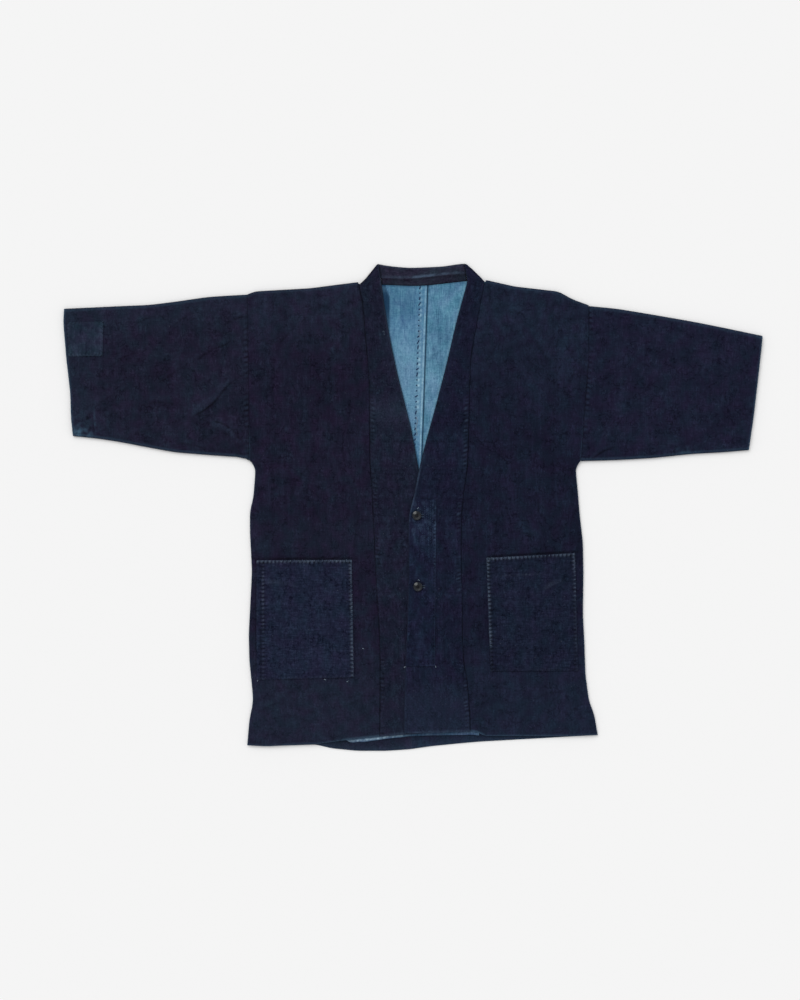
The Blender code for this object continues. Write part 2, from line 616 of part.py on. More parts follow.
def button(spec, level, holes):
    """A turned button with a raised rim round a dish, and four holes drilled through it."""
    flat = BUTTON_RADIUS - BUTTON_RIM
    profile = [
        (0.0, BUTTON_HEIGHT - BUTTON_DISH), (flat - 1.6, BUTTON_HEIGHT - BUTTON_DISH),
        (flat - 0.7, BUTTON_HEIGHT - 0.25), (flat + 0.1, BUTTON_HEIGHT), (BUTTON_RADIUS - 0.35, BUTTON_HEIGHT - 0.5),
        (BUTTON_RADIUS, BUTTON_HEIGHT - 1.2), (BUTTON_RADIUS - 0.7, 0.8), (BUTTON_RADIUS - 2.2, 0.0), (0.0, 0.0),
    ]
    mesh = bpy.data.meshes.new(spec.name)
    verts = [(r * MM, 0.0, z * MM) for r, z in profile]
    mesh.from_pydata(verts, [(k, k + 1) for k in range(len(verts) - 1)], [])
    item = bpy.data.objects.new(spec.name, mesh)
    item.location = (spec.x * MM, spec.y * MM, level * MM)
    PIECES.objects.link(item)
    screw = item.modifiers.new("turning", "SCREW")
    screw.axis = "Z"
    screw.steps = BUTTON_STEPS
    screw.render_steps = BUTTON_STEPS
    screw.use_merge_vertices = True
    screw.merge_threshold = 0.00001
    item.data.materials.append(finish_material(spec.name + "_horn", BUTTON_BROWN))
    for k in range(4):
        turn = math.pi / 4 + k * math.pi / 2
        cutter = holes.copy()
        cutter.location = (
            (spec.x + BUTTON_HOLE_PITCH * math.cos(turn)) * MM,
            (spec.y + BUTTON_HOLE_PITCH * math.sin(turn)) * MM,
            (level + BUTTON_HEIGHT / 2) * MM,
        )
        cutter.hide_render = True
        cutter.display_type = "WIRE"
        CUTTERS.objects.link(cutter)
        drill = item.modifiers.new("hole", "BOOLEAN")
        drill.operation = "DIFFERENCE"
        drill.object = cutter
    return item


def drill_bit():
    """The cutter for a button's hole, copied to each place and then removed."""
    mesh = bpy.data.meshes.new("hole")
    bm = bmesh.new()
    bmesh.ops.create_cone(
        bm, cap_ends=True, segments=HOLE_SIDES, radius1=BUTTON_HOLE * MM, radius2=BUTTON_HOLE * MM,
        depth=2 * BUTTON_HEIGHT * MM,
    )
    bm.to_mesh(mesh)
    bm.free()
    return bpy.data.objects.new("hole", mesh)


clear_scene()
PIECES = bpy.data.collections.new("noragi")
CUTTERS = bpy.data.collections.new("cutters")
bpy.context.scene.collection.children.link(PIECES)
bpy.context.scene.collection.children.link(CUTTERS)

body_panel("body_right", SIDE_RIGHT, BAND_RIGHT, ARMHOLE_RIGHT, NECK[0].x)
body_panel("body_left", SIDE_LEFT, BAND_LEFT, ARMHOLE_LEFT, NECK[-1].x)
lining_panel("lining_right", SIDE_RIGHT, NECK[0].x, LINING_BLUE)
lining_panel("lining_left", SIDE_LEFT, NECK[-1].x, LINING_TEAL)
sleeve_tube("sleeve_right", SLEEVE_RIGHT, ARMHOLE_RIGHT, CUFF_RIGHT)
sleeve_tube("sleeve_left", SLEEVE_LEFT, ARMHOLE_LEFT, CUFF_LEFT)
collar_band("collar_right", BAND_RIGHT, laps=False)
collar_band("collar_left", BAND_LEFT, laps=True)
back_collar()
hem_rim()

front_top = FRONT_MID + CLOTH / 2
patch_on("pocket_right", POCKET_RIGHT, POCKET_LEAN_RIGHT, front_top, POCKET_PUFF, CLOTH, INDIGO_WORN, POCKET_CELLS)
patch_on("pocket_left", POCKET_LEFT, POCKET_LEAN_LEFT, front_top, POCKET_PUFF, CLOTH, INDIGO, POCKET_CELLS)
patch_on("cuff_patch", CUFF_PATCH, CUFF_PATCH_LEAN, front_top, 0.0, PATCH_CLOTH, SLEEVE_MEND, CUFF_PATCH_CELLS)
stand_level = BAND_TOP + OVERLAP_RISE
button_stand(stand_level)

bit = drill_bit()
for spec in BUTTONS:
    button(spec, stand_level + LAY + PATCH_CLOTH + LAY, bit)
bpy.data.objects.remove(bit)
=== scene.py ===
"""A noragi, an indigo work jacket of hand-woven cotton, laid flat with its front upwards.

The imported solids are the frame. Each of them is replaced by finer cloth on the same form: rolled rims,
creases, puckered seams and hand stitches, in indigo-dyed cotton that is worn along its edges. Sizes are
millimetres unless a name says metres: x runs across the jacket, y from the hem to the collar, and z up from
the floor. Right and left are the wearer's, so the right side lies at minus x.
"""

from __future__ import annotations

import logging
import math
from dataclasses import dataclass
from enum import Enum
from functools import cache
from typing import NamedTuple, Sequence

import bpy
import numpy as np
from mathutils import Matrix, Vector

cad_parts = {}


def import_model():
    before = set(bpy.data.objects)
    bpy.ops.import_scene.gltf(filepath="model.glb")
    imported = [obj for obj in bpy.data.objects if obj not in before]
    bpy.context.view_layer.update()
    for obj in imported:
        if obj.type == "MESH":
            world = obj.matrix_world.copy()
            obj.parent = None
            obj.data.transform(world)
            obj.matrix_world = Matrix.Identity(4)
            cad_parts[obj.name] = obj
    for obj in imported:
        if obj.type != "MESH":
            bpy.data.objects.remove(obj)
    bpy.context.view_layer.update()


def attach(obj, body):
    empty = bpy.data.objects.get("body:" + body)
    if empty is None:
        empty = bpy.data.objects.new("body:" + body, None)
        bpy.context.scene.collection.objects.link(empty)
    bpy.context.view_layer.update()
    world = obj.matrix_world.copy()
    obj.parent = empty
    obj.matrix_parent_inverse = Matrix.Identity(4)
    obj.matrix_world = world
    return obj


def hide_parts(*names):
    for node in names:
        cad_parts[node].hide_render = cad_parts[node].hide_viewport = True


LOG = logging.getLogger("noragi")
BODY = "root"
MM = 0.001
Array = np.ndarray
Colour = tuple[float, float, float]
Item = bpy.types.Object
Material = bpy.types.Material
Socket = bpy.types.NodeSocket
Tree = bpy.types.NodeTree
Value = Socket | float | tuple

# Cloths: the thickness of each wall, and the room between walls that lie on each other.
CLOTH = 1.6
LINING = 1.0
BAND_CLOTH = 1.3
PATCH_CLOTH = 1.0
RIM_CLOTH = 1.2
LAY = 0.3
SEAM_BITE = 0.25

# Heights of the walls, at their middles or on top. The back lies on the ground, the lining on it, and the
# fronts on both.
BACK_MID = CLOTH / 2
LINING_MID = CLOTH + LAY + LINING / 2
LINING_TOP = LINING_MID + LINING / 2
FRONT_MID = 4.4
EDGE_MID = CLOTH + LAY + CLOTH / 2
HEM_MID = 4.2
RIM_MID = CLOTH + LAY + RIM_CLOTH / 2
BAND_LOW_MID = CLOTH + LAY + LINING + 0.4 + BAND_CLOTH / 2
BAND_STEP = BAND_CLOTH + LAY
BAND_TOP = BAND_LOW_MID + BAND_STEP + BAND_CLOTH / 2
OVERLAP_RISE = 2 * BAND_CLOTH + 2 * LAY
STAND_LEVEL = BAND_TOP + OVERLAP_RISE
STAND_TOP_LEVEL = STAND_LEVEL + LAY + PATCH_CLOTH
FRONT_TOP = FRONT_MID + CLOTH / 2
COLLAR_LOW_MID = BAND_CLOTH / 2
FOLD_RADIUS = (FRONT_MID - BACK_MID) / 2
FOLD_MIDDLE = (FRONT_MID + BACK_MID) / 2
FOLD_REACH = FOLD_RADIUS + CLOTH / 2
BAND_FOLD = BAND_STEP / 2
BAND_REACH = BAND_FOLD + BAND_CLOTH / 2

# How far the cloth takes to settle at an edge, at the ledge over the under band, and behind the neck.
EDGE_ROLL = 10.0
HEM_ROLL = 30.0
LEDGE_RUN = 16.0
NECK_RUN = 11.0
FOLD_CALM = 14.0
CALM_EDGE = 9.0
LINING_INSET = 12.0
HEM_TURN = 42.0

# Spacing of the meshes' rows and columns, the first steps in from a rim, and the steps round a fold.
FINE = 1.7
ROW = 1.9
WIDE = 2.8
HIDDEN = 7.0
COVERED = 9.0
RIM_STEPS = (0.0, 0.09, 0.34, 0.8, 1.6)
FOLD_STEPS = np.linspace(0, 1, 8)[1:-1]
BAND_FOLD_STEPS = np.linspace(0, 1, 7)[1:-1]
SOFTENING = (-1.0, -0.5, 0.0, 0.5, 1.0)
SETTLE_ROUNDS = 6

# The running stitch beside the lining's centre seam.
RUN_PITCH = 8.9
RUN_ASIDE = 12.4


class Edge(NamedTuple):
    """A point of an upright edge."""

    y: float
    x: float


class Line(NamedTuple):
    """A point of a line that runs across the jacket."""

    x: float
    y: float


class BandRow(NamedTuple):
    """A section of a collar band: its seam, its folded edge, and where it comes down off the band below."""

    seam_x: float
    seam_y: float
    free_x: float
    free_y: float
    ledge_x: float


class SleeveRow(NamedTuple):
    """A section of a sleeve."""

    x: float
    top: float
    bottom: float


class Patch(NamedTuple):
    """The four sides of a sewn-on piece, or how far each of them leans or is worn."""

    left: float
    right: float
    bottom: float
    top: float


class Fold(NamedTuple):
    """A crease as a soft ridge from one point to another, steep and painted with shade on its right-hand
    side.
    """

    x0: float
    y0: float
    x1: float
    y1: float
    bow: float
    width: float
    height: float


def table(kind: type, *rows: Sequence[float]) -> list:
    """A table whose rows are all of one kind."""
    return [kind(*row) for row in rows]


# Side seams from the hem up to the underarm.
SIDE_RIGHT = table(
    Edge,
    (-392.5, -273.4), (-350.5, -269.9), (-323.6, -264.2), (-310.0, -264.2), (-252.8, -269.9),
    (-209.0, -270.9), (-158.6, -268.3), (-104.6, -265.7), (-40.6, -269.0), (-6.9, -269.0), (16.8, -263.2),
    (60.4, -259.9), (70.5, -261.5), (77.0, -269.9),
)
SIDE_LEFT = table(
    Edge,
    (-376.0, 304.6), (-340.4, 298.5), (-320.0, 290.1), (-276.4, 284.3), (-225.9, 282.6), (-175.4, 280.0),
    (-108.0, 281.0), (-57.4, 280.0), (-13.7, 274.9), (26.7, 271.6), (60.0, 268.3), (67.7, 268.3),
    (76.0, 276.4),
)
ARMHOLE_RIGHT = table(Edge, (77.0, -269.9), (351.0, -273.0))
ARMHOLE_LEFT = table(Edge, (76.0, 276.4), (246.3, 289.6), (333.0, 289.6))
CENTRE_SEAM = table(Edge, (-402.0, -2.0), (92.0, 14.7), (366.0, 24.0))

# The fold over the shoulders, the neck seam and the two hems, from right to left.
SHOULDER = table(
    Line,
    (-273.9, 350.6), (-260.2, 356.0), (-170.6, 361.0), (-92.7, 371.0), (119.5, 374.9), (167.5, 364.0),
    (239.9, 355.7), (262.5, 343.0), (289.7, 333.0),
)
NECK = table(
    Line,
    (-90.3, 368.4), (-52.0, 367.3), (-19.3, 365.8), (3.5, 365.1), (24.0, 366.0), (56.9, 369.6), (89.8, 373.5),
    (119.8, 372.2),
)
HEM_FRONT = table(
    Line,
    (-273.4, -392.5), (-241.4, -394.2), (-190.9, -391.5), (-160.5, -390.5), (-137.0, -387.4),
    (-112.0, -384.0), (-66.0, -379.2), (-13.2, -372.6), (28.0, -370.9), (106.0, -370.0), (116.0, -377.0),
    (250.0, -377.0), (304.6, -375.7),
)
HEM_BACK = table(
    Line,
    (-273.4, -392.5), (-241.4, -394.2), (-160.5, -391.5), (-133.7, -397.7), (-93.0, -401.7), (-46.0, -401.9),
    (-5.6, -399.3), (29.0, -394.2), (79.5, -389.2), (112.0, -386.4), (214.5, -380.8), (304.6, -375.7),
)

# The collar bands from the hem to the neck corner.
BAND_RIGHT = table(
    BandRow,
    (-54.9, -377.6, 42.0, -371.0, 0.0), (-54.2, -266.0, 38.0, -266.0, 0.0),
    (-54.8, -215.0, 36.0, -215.0, 0.0), (-57.8, -165.0, 34.0, -165.0, 0.0),
    (-60.3, -125.0, 32.0, -125.0, 0.0), (-64.0, -50.8, 26.0, -50.8, 0.0), (-67.3, 25.7, 16.0, 25.7, 0.0),
    (-70.5, 67.2, 8.3, 67.2, 0.0), (-71.3, 95.4, 3.2, 95.4, 0.0), (-71.3, 129.4, -3.3, 129.4, 0.0),
    (-71.3, 165.0, -12.2, 165.0, 0.0), (-72.7, 220.9, -26.2, 220.9, 0.0), (-78.2, 276.7, -38.0, 276.7, 0.0),
    (-82.5, 332.5, -47.1, 332.5, 0.0), (-89.5, 366.0, -51.8, 366.5, 0.0), (-84.5, 370.5, -52.4, 373.5, 0.0),
    (-79.0, 376.0, -53.4, 380.0, 0.0), (-71.0, 386.0, -55.0, 390.0, 0.0), (-60.0, 399.5, -57.0, 401.8, 0.0),
)
BAND_LEFT = table(
    BandRow,
    (94.2, -370.2, -15.0, -372.6, 45.0), (93.0, -336.0, -14.8, -336.0, 45.0),
    (89.5, -287.0, -14.0, -287.0, 44.0), (83.3, -254.0, -12.6, -254.0, 42.0),
    (81.0, -209.0, -10.2, -209.0, 42.0), (81.2, -153.0, -8.4, -153.0, 42.0),
    (79.5, -100.0, -7.5, -100.0, 42.0), (79.2, -57.4, -7.8, -57.4, 42.0), (79.8, -13.5, -7.2, -13.5, 42.0),
    (82.7, 20.0, 1.8, 20.0, 41.0), (86.2, 44.0, 6.4, 44.0, 36.0), (89.7, 67.5, 11.0, 67.5, 25.0),
    (91.1, 109.4, 21.5, 109.4, 9.0), (92.6, 165.0, 36.9, 165.0, 9.0), (93.9, 221.0, 51.4, 221.0, 9.0),
    (95.4, 248.8, 58.3, 248.8, 9.0), (105.1, 304.6, 71.0, 304.6, 9.0), (116.4, 366.0, 88.2, 366.5, 9.0),
    (118.4, 371.0, 89.4, 374.5, 9.0), (110.4, 380.0, 87.8, 382.0, 9.0), (99.7, 390.6, 85.8, 391.5, 9.0),
    (88.4, 400.6, 84.0, 401.8, 9.0),
)
FRONT_TOP_ROW = 367.0
COLLAR_TOP = table(
    Line,
    (-57.0, 401.0), (-50.0, 399.3), (-27.0, 396.3), (-4.0, 394.7), (18.8, 395.5), (49.3, 397.0),
    (76.7, 401.2), (84.0, 401.5),
)
COLLAR_CREASE = table(Line, (-57.0, 381.0), (-4.0, 379.8), (26.4, 383.0), (56.9, 386.4), (84.0, 388.0))
COLLAR_LIP = 0.8
MITRE_RIGHT = table(Edge, (366.0, -51.4), (374.0, -52.1), (402.0, -56.6))
MITRE_LEFT = table(Edge, (366.0, 87.9), (374.0, 89.0), (402.0, 83.5))

# The sleeves from the armhole to the cuff.
SLEEVE_RIGHT = table(
    SleeveRow,
    (-270.0, 350.6, 77.0), (-279.7, 350.4, 82.0), (-338.0, 346.8, 86.0), (-392.7, 338.8, 90.4),
    (-435.4, 333.5, 98.3), (-486.0, 331.5, 108.0), (-516.0, 330.0, 112.6), (-576.3, 327.2, 118.9),
)
SLEEVE_LEFT = table(
    SleeveRow,
    (276.2, 333.0, 76.0), (335.0, 327.5, 77.5), (394.0, 317.8, 80.8), (461.7, 306.0, 87.9),
    (506.9, 297.0, 90.2), (576.3, 282.5, 96.0),
)
CUFF_RIGHT = table(
    Edge,
    (118.5, -560.8), (148.8, -564.0), (187.8, -565.0), (246.2, -571.7), (304.6, -576.5), (327.2, -575.2),
)
CUFF_LEFT = table(Edge, (92.4, 553.1), (146.7, 561.2), (223.7, 570.2), (278.0, 576.0), (283.0, 576.0))

# What is sewn on, each with the lean of its sides.
POCKET_RIGHT = Patch(-258.0, -99.0, -282.5, -87.0)
POCKET_LEFT = Patch(124.1, 269.6, -270.0, -79.4)
POCKET_LEAN_RIGHT = Patch(0.0, 3.5, 4.0, 0.9)
POCKET_LEAN_LEFT = Patch(6.6, 5.0, 0.5, 8.0)
CUFF_PATCH = Patch(-568.8, -510.8, 248.6, 305.6)
CUFF_PATCH_LEAN = Patch(1.9, -1.1, 1.3, 1.0)
STAND_BOTTOM = Line(36.0, -262.0)
STAND_TOP = Line(38.5, 14.0)
STAND_INSET = 1.2
RIM_ENDS = (-110.0, 109.0)
RIM_SHOW = 6.0
RIM_TUCK = 8.0
BUTTONS = {"button_upper": Line(6.1, -13.7), "button_lower": Line(7.9, -130.8)}

# Loose ends of pale thread: x, y, the height that they lie at, and their turn.
THREAD_ENDS = (
    (8.0, -1.5, STAND_TOP_LEVEL, 1.4), (9.5, -120.0, STAND_TOP_LEVEL, 0.1),
    (-13.4, -263.0, STAND_LEVEL, 0.9), (37.4, -262.4, STAND_LEVEL, 2.2),
    (-82.0, -233.0, FRONT_TOP + 0.5, 0.2), (-145.0, -284.0, FRONT_TOP + 0.4, 0.1),
    (-108.0, -287.0, FRONT_TOP + 0.4, 1.2), (-256.0, -285.5, FRONT_TOP + 0.2, 1.5),
)
COLLAR_THREAD = (-48.0, 287.5, BAND_TOP + 0.5, -0.8)

# Creases of the upper cloth, then those that lift the whole jacket off the floor and show from below.
FRONT_FOLDS = table(
    Fold,
    (-358, 158, -316, 196, -4, 14, 2.3), (-316, 196, -272, 226, 3, 12, 1.1),
    (-354, 250, -311, 272, 3, 14, 1.5), (-289, 110, -327, 137, -5, 12, 2.0),
    (-306, 307, -277, 318, 2, 10, 1.3), (-443, 174, -397, 176, 3, 15, 1.1),
    (-500, 238, -452, 262, 4, 18, 0.8), (-221, 278, -190, 317, -3, 14, 0.8),
    (-150, 336, -112, 322, 2, 12, 0.8), (-205, 20, -180, 66, 4, 16, 0.9), (-130, -330, -96, -318, 2, 14, 0.7),
    (203, 273, 222, 250, 3, 13, 1.3), (222, 250, 238, 224, 3, 11, 0.7), (160, 325, 188, 313, 5, 10, 1.3),
    (192, 252, 202, 218, 3, 12, 0.8), (227, 142, 229, 96, 2, 12, 0.8), (159, -36, 198, -45, 3, 12, 1.1),
    (204, 30, 211, -6, 2, 12, 1.0), (294, 82, 328, 101, 3, 10, 1.6), (322, 196, 372, 214, 4, 16, 0.6),
    (420, 142, 462, 170, 4, 18, 0.6), (486, 250, 520, 232, 3, 16, 0.5), (-287, 116, -286, 86, 2, 8, 0.9),
    (-548, 296, -522, 320, 2, 9, 0.6), (-470, 296, -430, 318, 3, 12, 0.8),
    (-420, 210, -384, 240, -3, 12, 0.9), (-512, 178, -474, 198, 2, 11, 0.7),
    (-540, 146, -520, 172, 2, 9, 0.7), (-380, 108, -344, 100, 2, 9, 0.8), (-336, 292, -296, 286, 2, 10, 0.9),
    (-462, 122, -424, 132, 2, 10, 0.6), (-398, 300, -366, 322, 2, 10, 0.7), (352, 300, 392, 286, 2, 11, 0.5),
    (304, 262, 332, 238, -2, 10, 0.5), (440, 250, 480, 262, 3, 12, 0.5), (520, 178, 548, 156, 2, 10, 0.5),
    (386, 110, 432, 102, 2, 9, 0.5), (300, 172, 318, 148, 2, 8, 0.5), (400, 196, 432, 222, -2, 12, 0.5),
    (498, 122, 530, 132, 2, 9, 0.4), (-244, 196, -214, 240, 3, 12, 0.9), (-162, 176, -142, 222, -3, 12, 0.7),
    (-122, 252, -106, 300, 2, 10, 0.8), (-252, 106, -222, 142, 3, 10, 0.9), (-232, 36, -238, 84, 2, 9, 0.6),
    (-150, -34, -170, 8, 2, 11, 0.7), (-100, -64, -92, -8, 2, 9, 0.7), (-218, -58, -178, -50, 2, 9, 0.8),
    (-96, 118, -88, 172, 2, 9, 0.6), (-256, -334, -222, -318, 2, 11, 0.8),
    (-204, -338, -168, -352, 2, 11, 0.7), (-84, -204, -78, -146, 2, 8, 0.6),
    (120, 248, 142, 292, -3, 11, 0.9), (250, 302, 276, 276, 2, 10, 0.9), (248, 186, 262, 222, 2, 10, 0.8),
    (158, 146, 182, 192, 3, 12, 0.8), (128, 58, 150, 102, 3, 12, 0.7), (238, 62, 262, 30, 2, 10, 0.8),
    (108, -18, 122, -62, 2, 9, 0.7), (248, -28, 268, -56, 2, 9, 0.7), (106, -180, 114, -232, 2, 8, 0.6),
    (198, -312, 242, -300, 2, 11, 0.8), (138, -330, 172, -345, 2, 11, 0.7),
    (258, -334, 286, -318, 2, 10, 0.7), (124.5, 336, 121, 366, 0, 8, 1.6), (-96, 300, -101, 352, 3, 9, 1.1),
    (-153, 326, -178, 328, 1, 8, 1.1),
)
BACK_FOLDS = table(
    Fold,
    (-196, 252, -126, 204, 8, 24, 1.5), (96, 214, 158, 268, -7, 22, 1.4), (-238, -30, -168, -74, 6, 24, 1.3),
    (112, -10, 196, 32, 8, 26, 1.2), (176, -146, 246, -190, -6, 22, 1.3),
    (-206, -200, -140, -232, 7, 24, 1.1), (110, -306, 186, -330, 6, 22, 1.2),
    (-250, -330, -190, -300, 5, 20, 1.0), (-232, 130, -190, 84, 6, 18, 1.1), (200, 118, 256, 84, -5, 18, 1.2),
    (-520, 206, -440, 244, 8, 24, 1.4), (-400, 132, -330, 178, -6, 22, 1.3),
    (-368, 300, -306, 260, 5, 20, 1.2), (346, 168, 424, 214, 8, 24, 1.4), (458, 132, 534, 162, 6, 20, 1.1),
    (330, 292, 388, 262, 5, 20, 1.2),
)


def ease(value: Array) -> Array:
    """An S-curve from 0 to 1, flat at both ends."""
    t = np.clip(value, 0.0, 1.0)
    return t * t * (3.0 - 2.0 * t)


def near(distance: Array, reach: float) -> Array:
    """1 at a line and 0 from reach away."""
    return ease(1.0 - np.abs(distance) / reach)


def sway(run: Array, span: float, bend: float, slow: float) -> Array:
    """A wave from -1 to 1 whose length wanders along the run."""
    return np.sin(run / span + bend * np.sin(run / slow))


def half_turn(run: Array, start: float) -> Array:
    """The angle round a fold that lies between start and start + 1 on the run."""
    return np.clip(run - start, 0, 1) * math.pi


def bent(at: Array, stops: Sequence[float], values: Sequence[float], reach: float) -> Array:
    """Reads a bent line with its corners softened.

    Args:
        at: Where to read it.
        stops: The positions of its points, rising.
        values: Their values.
        reach: How far each way the line is averaged, less towards its ends.

    Returns:
        The value at each position.
    """
    room = np.clip(np.minimum(at - stops[0], stops[-1] - at), 0.0, reach)
    return sum(np.interp(at + room * share, stops, values) for share in SOFTENING) / len(SOFTENING)


def x_at(edge: Sequence[Edge], y: Array, reach: float = 8.0) -> Array:
    """The x of an upright edge at height y up the jacket."""
    return bent(y, [point.y for point in edge], [point.x for point in edge], reach)


def y_at(line: Sequence[Line], x: Array, reach: float = 6.0) -> Array:
    """The y of a line that runs across the jacket."""
    return bent(x, [point.x for point in line], [point.y for point in line], reach)


def patch_point(patch: Patch, lean: Patch, across: Array, up: Array) -> tuple[Array, Array]:
    """A point of a four-sided patch whose sides lean from one end to the other."""
    left = patch.left + lean.left * (0.5 - up)
    right = patch.right + lean.right * (0.5 - up)
    bottom = patch.bottom + lean.bottom * (across - 0.5)
    top = patch.top + lean.top * (across - 0.5)
    return left + (right - left) * across, bottom + (top - bottom) * up


def spread(length: float, step: float, rims: tuple[bool, bool] = (True, True)) -> Array:
    """Shares of a length, closer together at a rim so that the cloth rolls over there.

    Args:
        length: The length in millimetres.
        step: The spacing away from the rims.
        rims: Whether the start and the end are rims.

    Returns:
        The shares, from 0 to 1.
    """
    start = list(RIM_STEPS) if rims[0] else [0.0]
    end = [length - value for value in reversed(RIM_STEPS)] if rims[1] else [length]
    count = max(1, round((end[0] - start[-1]) / step))
    middle = np.linspace(start[-1], end[0], count + 1)[1:-1]
    return np.concatenate([start, middle, end]) / length


def two_spreads(length: float, close: float, steps: tuple[float, float], end_rim: bool = True) -> Array:
    """Shares of a length that are spread more finely over its first stretch, close, than over the rest."""
    first = spread(close, steps[0], (True, False)) * close
    rest = spread(length - close, steps[1], (False, end_rim))[1:] * (length - close)
    return np.concatenate([first, close + rest]) / length


class Relief:
    """The cloth's own shape: listed creases, a slow swell and a fine crinkle."""

    SWELL = 0.35
    CRINKLE = 0.4
    WAVES = 40
    SEED = 11
    LOWEST = -0.35
    MARGIN = 4.0

    @staticmethod
    def folds(x: Array, y: Array, creases: Sequence[Fold]) -> tuple[Array, Array]:
        """Adds up a table of creases.

        Args:
            x: Places across the jacket.
            y: Places up the jacket.
            creases: The creases.

        Returns:
            Their height, and a painted shade line along their steep side, from 0 to 1.
        """
        height, lee = np.zeros_like(x), np.zeros_like(x)
        for number, fold in enumerate(creases):
            run_x, run_y = fold.x1 - fold.x0, fold.y1 - fold.y0
            run = math.hypot(run_x, run_y)
            along = ((x - fold.x0) * run_x + (y - fold.y0) * run_y) / run**2
            t = np.clip(along, 0.0, 1.0)
            aside = (run_x * (y - fold.y0) - run_y * (x - fold.x0)) / run - fold.bow * 4 * t * (1 - t)
            beyond = (along - t) * run
            side = np.where(aside > 0, fold.width, fold.width * 0.5)
            rise = fold.height * (0.75 + 0.25 * np.sin(number + t * 5.0))
            height += rise * ease(1.0 - np.hypot(aside / side, beyond / fold.width))
            height -= 0.3 * rise * near(np.hypot(aside + fold.width * 0.8, beyond), fold.width * 0.5)
            sharp = 1.6 + 0.06 * fold.width
            # Painted shade: a dark line just off the ridge on its steep side.
            lee += 0.58 * rise * near(np.hypot(aside + fold.width * 0.36, beyond / 2), sharp)
        return height, np.clip(lee, 0.0, 1.0)

    @classmethod
    def crinkle(cls, x: Array, y: Array) -> Array:
        """A fine unevenness as of washed cotton, from -1 to 1."""
        draw = np.random.default_rng(cls.SEED)
        total, weight = np.zeros_like(x), 0.0
        bend_x, bend_y = x + 5 * np.sin(y / 37), y + 5 * np.sin(x / 29)
        for _ in range(cls.WAVES):
            span, turn, phase = draw.uniform(9.5, 34), draw.normal(0.0, 0.75), draw.uniform(0, math.tau)
            run = bend_x * math.cos(turn) + bend_y * math.sin(turn)
            total += span * np.sin(run * math.tau / span + phase)
            weight += span**2
        return total / math.sqrt(weight) / 1.4

    @classmethod
    def blotches(cls, x: Array, y: Array, contrast: float = 0.8) -> Array:
        """Uneven patches, from 0 to 1."""
        return ease(0.5 + contrast * cls.crinkle(x, y))

    @staticmethod
    def calm(x: Array, y: Array) -> Array:
        """1 on open cloth and 0 under whatever is sewn on it, where the cloth lies quite flat."""
        value = np.ones_like(x)
        for patch in (POCKET_RIGHT, POCKET_LEFT, CUFF_PATCH):
            outside = np.maximum.reduce([patch.left - x, x - patch.right, patch.bottom - y, y - patch.top])
            value = np.minimum(value, ease((outside - Relief.MARGIN) / CALM_EDGE))
        return value

    @classmethod
    def front(cls, x: Array, y: Array) -> tuple[Array, Array]:
        """The height of the upper cloth over its plain level, and the painted shade along its creases."""
        swell = cls.SWELL * (np.sin(x / 41 + np.sin(y / 83)) * np.sin(y / 57 - x / 130) + 0.8)
        height, lee = cls.folds(x, y, FRONT_FOLDS)
        calm = cls.calm(x, y)
        height = np.maximum(swell + height + cls.CRINKLE * cls.crinkle(x, y), cls.LOWEST)
        return height * calm, lee * calm

    @classmethod
    def lift(cls, x: Array, y: Array) -> Array:
        """How far the whole jacket is off the floor."""
        return np.maximum(cls.folds(x, y, BACK_FOLDS)[0], 0.0) * cls.calm(x, y)


class Dimples:
    """The pinch of hand stitches along a seam."""

    @staticmethod
    def at(run: Array, pitch: float, sharp: float = 1.0) -> Array:
        """1 where a stitch pulls the cloth down and 0 halfway to the next, a little uneven."""
        return (0.5 + 0.5 * np.cos(math.tau * (run + 0.9 * np.sin(run / 17)) / pitch)) ** sharp

    @classmethod
    def bead(cls, run: Array, pitch: float) -> Array:
        """1 halfway between two stitches, where the cloth puffs up, and 0 at each of them."""
        return 1 - cls.at(run, pitch)

    @staticmethod
    def strength(run: Array) -> Array:
        """How tight the stitches are along a seam, from 0.1 to 1."""
        return 0.55 + 0.28 * sway(run, 23, 1.9, 61) + 0.17 * sway(run, 6.1, 1.7, 13)


def linear(colour: Colour) -> tuple[float, float, float, float]:
    """A screen colour, 0 to 255, as the light that a shader takes."""
    return (*(((c / 255 + 0.055) / 1.055) ** 2.4 if c > 10 else c / 255 / 12.92 for c in colour), 1.0)


def placed(name: str, data: bpy.types.ID) -> Item:
    """Puts an object with this data in the scene."""
    item = bpy.data.objects.new(name, data)
    bpy.context.scene.collection.objects.link(item)
    return item


def settled(holder: Item, *helpers: Item) -> bpy.types.Mesh:
    """An object's finished mesh. The object itself and its helpers are removed."""
    mesh = bpy.data.meshes.new_from_object(holder.evaluated_get(bpy.context.evaluated_depsgraph_get()))
    for item in (holder, *helpers):
        bpy.data.objects.remove(item)
    return mesh


def mounted(item: Item, node: str | None = None) -> Item:
    """Puts a piece on the jacket's body and reports it.

    Args:
        item: The piece.
        node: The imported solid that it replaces.

    Returns:
        The piece.
    """
    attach(item, BODY)
    if node:
        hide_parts(node)
    LOG.info("%s: %d faces", item.name, len(item.data.polygons))
    return item


def add_node(tree: Tree, kind: str, inputs: dict | None = None, **options: object) -> bpy.types.Node:
    """Adds a node to a tree.

    Args:
        tree: The tree.
        kind: The node's type.
        inputs: What goes into its sockets, by name or number: other sockets, or plain values.
        options: Its own settings.

    Returns:
        The node.
    """
    node = tree.nodes.new(kind)
    for name, value in options.items():
        setattr(node, name, value)
    for name, value in (inputs or {}).items():
        if isinstance(value, Socket):
            tree.links.new(value, node.inputs[name])
        else:
            node.inputs[name].default_value = value
    return node


